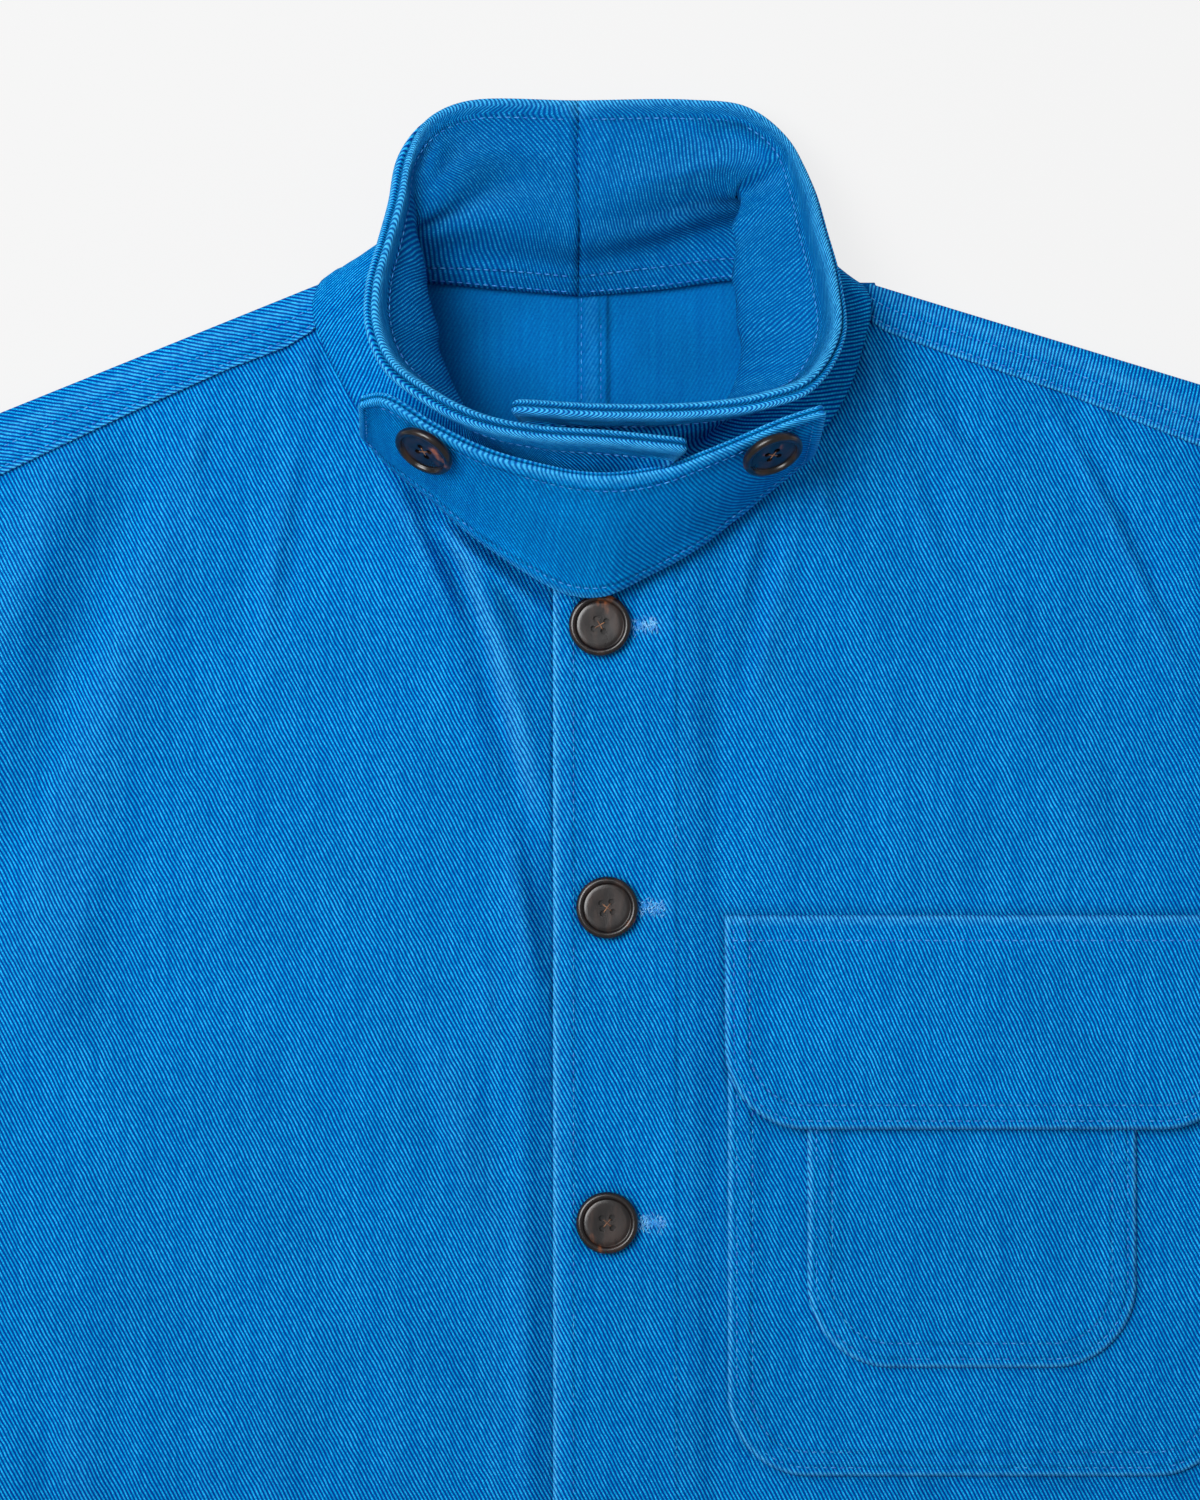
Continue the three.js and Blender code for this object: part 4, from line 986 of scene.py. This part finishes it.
def button_mesh():
    segments = 72
    mesh = bpy.data.meshes.new("button")
    points, faces = [(0, 0, 0)], []
    rings = BUTTON_PROFILE[1:-1]
    scale = np.array([BUTTON_RADIUS, BUTTON_RADIUS, BUTTON_HEIGHT]) / 1000
    for r, z in rings:
        for k in range(segments):
            a = 2 * math.pi * k / segments
            points.append(tuple(scale * (r * math.cos(a), r * math.sin(a), z)))
    points.append(tuple(scale * (0, 0, BUTTON_PROFILE[-1][1])))
    ring = lambda i, k: 1 + i * segments + k % segments
    for k in range(segments):
        faces.append((0, ring(0, k + 1), ring(0, k)))
        faces.append((len(points) - 1, ring(len(rings) - 1, k), ring(len(rings) - 1, k + 1)))
        for i in range(len(rings) - 1):
            faces.append((ring(i, k), ring(i, k + 1), ring(i + 1, k + 1), ring(i + 1, k)))
    mesh.from_pydata(points, [], faces)
    body = bpy.data.objects.new("button", mesh)
    bpy.context.collection.objects.link(body)
    cutters = []
    for sx, sy in ((1, 1), (1, -1), (-1, 1), (-1, -1)):
        hole = (sx * BUTTON_HOLES / 1000, sy * BUTTON_HOLES / 1000, 0.0108)
        bpy.ops.mesh.primitive_cylinder_add(vertices=24, radius=0.001, depth=0.02, location=hole)
        cutters.append(bpy.context.object)
        cut = body.modifiers.new("hole", "BOOLEAN")
        cut.operation = "DIFFERENCE"
        cut.solver = "EXACT"
        cut.object = cutters[-1]
    done = bpy.data.meshes.new_from_object(body.evaluated_get(bpy.context.evaluated_depsgraph_get()))
    for obj in [body, *cutters]:
        bpy.data.objects.remove(obj, do_unlink=True)
    for polygon in done.polygons:
        polygon.use_smooth = True
    done.set_sharp_from_angle(angle=math.radians(38))
    done.materials.clear()
    done.materials.append(HORN)
    return done


BUTTON = button_mesh()
# strap end, place along the strap, place across it
STRAP_BUTTONS = [("left", 0.178, 0.8), ("right", 0.885, 0.8)]
BUTTON_PLACES = []


def place_button(name, node, matrix):
    mesh = BUTTON.copy()
    mesh.transform(matrix)
    BUTTON_PLACES.append(matrix)
    obj = bpy.data.objects.new(name, mesh)
    bpy.context.collection.objects.link(obj)
    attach(obj, "root")
    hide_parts(node)


for i, (x, y) in enumerate(FRONT_BUTTONS):
    around = np.radians(np.arange(0, 360, 30))
    seat = float(np.max(right_height(x + 10 * np.cos(around), y + 10 * np.sin(around)))) + 0.35
    turn = Matrix.Rotation(math.radians((-14, 8, 3, 30, -20, 12)[i]), 4, "Z")
    at = Matrix.Translation(Vector(((x + ORIGIN[0]) / 1000, (y + ORIGIN[1]) / 1000, seat / 1000)))
    place_button(f"button_front_{i + 1}_horn", f"button_front_{i + 1}", at @ turn)
for side, along, height in STRAP_BUTTONS:
    reach = 0.06
    across = strap_surface(along + reach, height) - strap_surface(along - reach, height)
    up = strap_surface(along, height + reach) - strap_surface(along, height - reach)
    out = Vector(np.cross(across, up)).normalized()
    p = strap_surface(along, height)
    base = Vector(((p[0] + ORIGIN[0]) / 1000, (p[1] + ORIGIN[1]) / 1000, p[2] / 1000)) + out * 0.0023
    turn = out.to_track_quat("Z", "Y").to_matrix().to_4x4()
    place_button(f"button_strap_{side}_horn", f"button_strap_{side}", Matrix.Translation(base) @ turn)
bpy.data.meshes.remove(BUTTON)


# Sewing: polyester-wrapped thread a little paler than the cloth, 2.8 mm lockstitch. Every row is points on
# its cloth with the row's direction and the cloth's, and one node group lays a stitch on each.
def thread_material(name, pale, bright):
    material, tree, shader = new_material(name)
    shader.inputs["Sheen Weight"].default_value = 0.05
    place = tree.nodes.new("ShaderNodeTexCoord").outputs["Object"]
    shade = noise(tree, place, 300, 2).outputs["Fac"]
    twist = noise(tree, place, 5200, 1).outputs["Fac"]
    colour = mix_colour(tree, ramp_range(tree, shade, 0.35, 0.65), pale, bright)
    tree.links.new(colour, shader.inputs["Base Color"])
    tree.links.new(calc(tree, "MULTIPLY_ADD", twist, 0.2, 0.45), shader.inputs["Roughness"])
    tree.links.new(bumped(tree, twist, 0.00005).outputs[0], shader.inputs["Normal"])
    return material


def stitch_group():
    tree = bpy.data.node_groups.new("stitch_row", "GeometryNodeTree")
    face = tree.interface
    face.new_socket("Points", in_out="INPUT", socket_type="NodeSocketGeometry")
    for name, value in (("Stitch length", 0.002), ("Thread thickness", 0.00045), ("Unevenness", 0.15)):
        face.new_socket(name, in_out="INPUT", socket_type="NodeSocketFloat").default_value = value
    face.new_socket("Seed", in_out="INPUT", socket_type="NodeSocketInt")
    face.new_socket("Thread", in_out="INPUT", socket_type="NodeSocketMaterial")
    face.new_socket("Stitches", in_out="OUTPUT", socket_type="NodeSocketGeometry")
    new = tree.nodes.new
    given, made = new("NodeGroupInput").outputs, new("NodeGroupOutput").inputs
    ball = new("GeometryNodeMeshUVSphere")
    ball.inputs["Segments"].default_value = 8
    ball.inputs["Rings"].default_value = 5
    ball.inputs["Radius"].default_value = 0.5
    read = {}
    for key in ("along", "up"):
        node = new("GeometryNodeInputNamedAttribute")
        node.data_type = "FLOAT_VECTOR"
        node.inputs["Name"].default_value = key
        read[key] = node.outputs["Attribute"]
    upright = new("FunctionNodeAlignRotationToVector")
    upright.axis = "Z"
    turned = new("FunctionNodeAlignRotationToVector")
    turned.axis = "X"
    turned.pivot_axis = "Z"
    tree.links.new(read["up"], upright.inputs["Vector"])
    tree.links.new(upright.outputs[0], turned.inputs["Rotation"])
    tree.links.new(read["along"], turned.inputs["Vector"])
    uneven = new("FunctionNodeRandomValue")
    tree.links.new(given["Seed"], uneven.inputs["Seed"])
    less = new("ShaderNodeMath")
    less.operation = "SUBTRACT"
    less.inputs[0].default_value = 1.0
    tree.links.new(given["Unevenness"], less.inputs[1])
    tree.links.new(less.outputs[0], uneven.inputs[2])
    uneven.inputs[3].default_value = 1.0
    long = new("ShaderNodeMath")
    long.operation = "MULTIPLY"
    tree.links.new(uneven.outputs[1], long.inputs[0])
    tree.links.new(given["Stitch length"], long.inputs[1])
    size = new("ShaderNodeCombineXYZ")
    tree.links.new(long.outputs[0], size.inputs[0])
    tree.links.new(given["Thread thickness"], size.inputs[1])
    tree.links.new(given["Thread thickness"], size.inputs[2])
    lay = new("GeometryNodeInstanceOnPoints")
    tree.links.new(given["Points"], lay.inputs["Points"])
    tree.links.new(ball.outputs["Mesh"], lay.inputs["Instance"])
    tree.links.new(turned.outputs[0], lay.inputs["Rotation"])
    tree.links.new(size.outputs[0], lay.inputs["Scale"])
    real = new("GeometryNodeRealizeInstances")
    paint = new("GeometryNodeSetMaterial")
    tree.links.new(lay.outputs[0], real.inputs[0])
    tree.links.new(real.outputs[0], paint.inputs["Geometry"])
    tree.links.new(given["Thread"], paint.inputs["Material"])
    tree.links.new(paint.outputs[0], made["Stitches"])
    return tree


THREAD = thread_material("thread", srgb(20, 114, 206), srgb(62, 156, 230))
FRAYED_THREAD = thread_material("thread_frayed", srgb(40, 150, 232), srgb(120, 198, 250))
BUTTON_THREAD = thread_material("thread_button", srgb(96, 62, 44), srgb(178, 124, 86))
STITCHES = stitch_group()


def spaced(points, ups, pitch):
    """Points at an even pitch along a row, with the row's direction and the cloth's outward one at each."""
    along = np.concatenate([[0], np.cumsum(np.linalg.norm(np.diff(points, axis=0), axis=1))])
    at = np.arange(pitch / 2, along[-1], pitch)

    def read(values, shift=0.0):
        return np.stack([np.interp(at + shift, along, values[:, k]) for k in range(3)], -1)

    return read(points), read(points, 0.4) - read(points, -0.4), read(ups)


def sew(name, rows, length=2.0, thickness=0.46, pitch=2.8, seed=1, thread=THREAD):
    """rows is a list of (points, outward directions) in the coat's millimetres."""
    laid = [spaced(points, ups, pitch) for points, ups in rows]
    place, ahead, up = (np.concatenate([row[k] for row in laid]) for k in range(3))
    mesh = bpy.data.meshes.new(name)
    mesh.from_pydata(((place + np.array([*ORIGIN, 0])) / 1000).tolist(), [], [])
    for key, values in (("along", ahead), ("up", up)):
        attribute = mesh.attributes.new(key, "FLOAT_VECTOR", "POINT")
        attribute.data.foreach_set("vector", values.astype(np.float32).ravel())
    source = bpy.data.objects.new(name + "_points", mesh)
    bpy.context.collection.objects.link(source)
    modifier = source.modifiers.new("stitches", "NODES")
    modifier.node_group = STITCHES
    sockets = {item.name: item.identifier for item in STITCHES.interface.items_tree if item.in_out == "INPUT"}
    modifier[sockets["Stitch length"]] = length / 1000
    modifier[sockets["Thread thickness"]] = thickness / 1000
    modifier[sockets["Seed"]] = seed
    modifier[sockets["Thread"]] = thread
    done = bpy.data.meshes.new_from_object(source.evaluated_get(bpy.context.evaluated_depsgraph_get()))
    bpy.data.objects.remove(source, do_unlink=True)
    for polygon in done.polygons:
        polygon.use_smooth = True
    obj = bpy.data.objects.new(name, done)
    bpy.context.collection.objects.link(obj)
    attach(obj, "root")


def on_height(x, y, height, lift=0.06):
    """A row of points on a piece whose face is a height over x and y, with its outward directions."""
    x, y = np.asarray(x, float), np.asarray(y, float)
    z = height(x, y)
    slope_x = (height(x + 0.7, y) - height(x - 0.7, y)) / 1.4
    slope_y = (height(x, y + 0.7) - height(x, y - 0.7)) / 1.4
    return np.stack([x, y, z + lift], -1), np.stack([-slope_x, -slope_y, np.ones_like(x)], -1)


def outline_row(piece, inset, face, lift):
    """The row that runs down a laid piece's left side, round its corners and up its right side."""
    x0, x1, top, bottom, corner, _ = piece
    a = np.radians(np.linspace(180, 270, 24))
    r, low = corner - inset, bottom + corner
    up = np.linspace(low, top - 1, 60)
    x = np.concatenate([np.full(60, x0 + inset), x0 + corner + r * np.cos(a),
                        x1 - corner + r * np.cos(a + np.pi / 2), np.full(60, x1 - inset)])
    y = np.concatenate([up[::-1], low + r * np.sin(a), low + r * np.sin(a + np.pi / 2), up])
    return on_height(x, y, face, lift)


def piece_face(piece, base):
    return lambda x, y: base(x, y) + piece[5] + turned_in(outline_distance(piece, x, y))


def edge_rows(piece, base, lifts):
    return [outline_row(piece, inset, piece_face(piece, base), lift) for inset, lift in zip(EDGE_ROWS, lifts)]


sew("pocket_stitches", edge_rows(POCKET, pocket_base, (-0.14, -0.17)), seed=3)
sew("patch_stitches", edge_rows(PATCH, patch_base, (-0.14, -0.17)), seed=4)
across = np.linspace(FLAP[0] + 2, FLAP[1] - 2, 120)
flap_top = on_height(across, np.full(120, FLAP[2] - 8.0), piece_face(FLAP, flap_base))
sew("flap_stitches", [*edge_rows(FLAP, flap_base, (-0.04, -0.02)), flap_top], seed=5)


def placket_face(x, y):
    return right_height(x, y) + turned_edge(x + PAST_MIDDLE["right"])


down = np.linspace(52, HEM_Y + 3, 400)
sew("placket_stitches", [on_height(np.full(400, inset - PAST_MIDDLE["right"]), down, placket_face, -0.21)
                         for inset in (6.6, 39.5)], thickness=0.4, seed=6)
hem_x, hem_y = np.linspace(-287, 0, 200), np.full(200, HEM_Y + 20)
sew("hem_stitches", [on_height(hem_x, hem_y, lambda x, y: cloth_height(x, y) + 0.35),
                     on_height(-hem_x - 12, hem_y, lambda x, y: right_height(x, y) + 0.35)], seed=7)
back_down = np.linspace(146, HEM_Y + 3, 400)
felled = [np.stack([np.full(400, inset - BACK_SEAM), back_down, np.full(400, CLOTH + 0.7)], -1)
          for inset in FELLED_ROWS]
sew("back_stitches", [(row, np.tile((0.0, 0.0, 1.0), (400, 1))) for row in felled], thickness=0.4, seed=12)
# points of the shoulder's section from which its rows are looked for, and at which it has turned forward
ON_TOP, FORWARD = len(SHOULDER_SECTION) - 2, len(SHOULDER_SECTION) - 1


def strip_row(net, edge, inset):
    """A row on a shoulder strip at this distance from its seam."""
    points = []
    for line, off in zip(net, edge):
        order = np.argsort(off[ON_TOP:]) + ON_TOP
        points.append([np.interp(inset, off[order], line[order, k]) for k in range(3)])
    points = np.array(points)
    return points + (0, 0, 0.1), np.tile((0.0, 0.15, 1.0), (len(points), 1))


strips = (("left", left_strip_net, left_strip_edge), ("right", right_strip_net, right_strip_edge))
for side, net, edge in strips:
    wide = edge[:, FORWARD] > STRIP_ROWS[1] + 0.2
    rows = [strip_row(net, edge, STRIP_ROWS[0]), strip_row(net[wide], edge[wide], STRIP_ROWS[1])]
    sew("shoulder_stitches_" + side, rows, seed=8)


def surface_row(surface, t, h, thick, outward):
    """A row on a curved two-ply piece, moved to its outer face (outward 1) or its inner one (-1)."""
    n = normals_of(surface, t, h) * outward
    return surface(t, h) + n * (thick / 2 + 0.06), n


t = np.linspace(0.01, 0.985, 200)
rim = 1 - 6.6 / COLLAR_TALL
for side, out in (("left", 1), ("right", -1)):
    face = lambda t, h, side=side: collar_surface(side, t, h)
    rows = [surface_row(face, t, np.full(200, h), thick, outward) for h, thick, outward in (
        (rim, 4.6, out), (rim, 4.6, -out), (0.102, 3.5, -out), (0.02, 3.9, -out))]
    sew("collar_stitches_" + side, rows, thickness=0.42, seed=9)
near, far = STRAP_ROW / STRAP_LONG, 1 - STRAP_ROW / STRAP_LONG
round_t = np.concatenate([np.full(20, near), np.linspace(near, far, 160), np.full(20, far),
                          np.linspace(far, near, 160)])
round_h = np.concatenate([np.linspace(0.1, 0.9, 20), np.full(160, 0.9), np.linspace(0.9, 0.1, 20),
                          np.full(160, 0.1)])
sew("strap_stitches", [surface_row(strap_surface, round_t, round_h, 2.9, 1)], thickness=0.42, seed=10)


# Buttonholes: worked in the cloth's colour, worn pale and frayed. A bunch of short loose stitches shows
# beside each front button.
frayed = []
for i, (x, y) in enumerate(FRONT_BUTTONS):
    rng = np.random.default_rng(100 + i)
    for k in range(84):
        centre = np.array([x + rng.uniform(8.5, 18.4), y + rng.normal(0, 1.2)])
        lean = rng.normal(0, 0.75)
        reach = np.array([math.sin(lean), math.cos(lean)]) * rng.uniform(0.7, 0.98)
        ends = np.array([centre - reach, centre + reach])
        frayed.append(on_height(ends[:, 0], ends[:, 1], placket_face, rng.uniform(0.12, 0.45)))
sew("buttonholes", frayed, length=1.9, thickness=0.3, pitch=1.3, seed=11, thread=FRAYED_THREAD)


# Button threads: brown, crossed from hole to hole and pulled down into them.
crossed = []
for matrix in BUTTON_PLACES:
    up = np.array(matrix.to_3x3() @ Vector((0, 0, 1)))
    for slant in (1, -1):
        ends = [Vector((k * BUTTON_HOLES, k * slant * BUTTON_HOLES, 0.67 * BUTTON_HEIGHT)) for k in (-1, 1)]
        points = np.array([matrix @ (end / 1000) for end in ends]) * 1000 - (*ORIGIN, 0)
        crossed.append((points, np.array([up, up])))
sew("button_threads", crossed, length=4.4, thickness=0.42, pitch=4.6, seed=13, thread=BUTTON_THREAD)


# Stage: pale paper floor, one large soft light on the upper left, a white room, and the camera straight
# above the chest.
FLOOR_HALF, FLOOR_Z = 16, -0.0004
floor_mesh = bpy.data.meshes.new("floor")
corners = [(sx * FLOOR_HALF, sy * FLOOR_HALF, FLOOR_Z) for sx, sy in ((-1, -1), (1, -1), (1, 1), (-1, 1))]
floor_mesh.from_pydata(corners, [], [(0, 1, 2, 3)])
floor = bpy.data.objects.new("floor", floor_mesh)
bpy.context.collection.objects.link(floor)
paper, _, paper_shader = new_material("paper")
paper_shader.inputs["Base Color"].default_value = (0.08, 0.08, 0.08, 1)
paper_shader.inputs["Roughness"].default_value = 0.95
paper_shader.inputs["Emission Color"].default_value = (1, 1, 1, 1)
paper_shader.inputs["Emission Strength"].default_value = 0.8
floor_mesh.materials.append(paper)

light = bpy.data.lights.new("key", "AREA")
light.shape = "SQUARE"
light.size = 1.35
light.energy = 6.8
light.spread = math.radians(54)
key = bpy.data.objects.new("key", light)
key.location = (-0.84, 0.74, 1.75)
key.rotation_euler = (Vector((-0.14, 0.44, 0)) - key.location).to_track_quat("-Z", "Y").to_euler()
bpy.context.collection.objects.link(key)
world = bpy.data.worlds.new("studio")
bpy.context.scene.world = world
world.use_nodes = True
world.node_tree.nodes["Background"].inputs[0].default_value = (1, 1, 1, 1)
world.node_tree.nodes["Background"].inputs[1].default_value = 0.34
bpy.context.scene.view_settings.view_transform = "Standard"

CAMERA_HEIGHT = 2.2
PHOTO_HEIGHT = 0.483
camera = bpy.data.objects.new("camera", bpy.data.cameras.new("camera"))
camera.data.sensor_width = 36
camera.data.lens = 36 * CAMERA_HEIGHT / PHOTO_HEIGHT
camera.data.clip_end = 20
camera.location = (ORIGIN[0] / 1000, ORIGIN[1] / 1000, CAMERA_HEIGHT)
bpy.context.collection.objects.link(camera)
bpy.context.scene.camera = camera
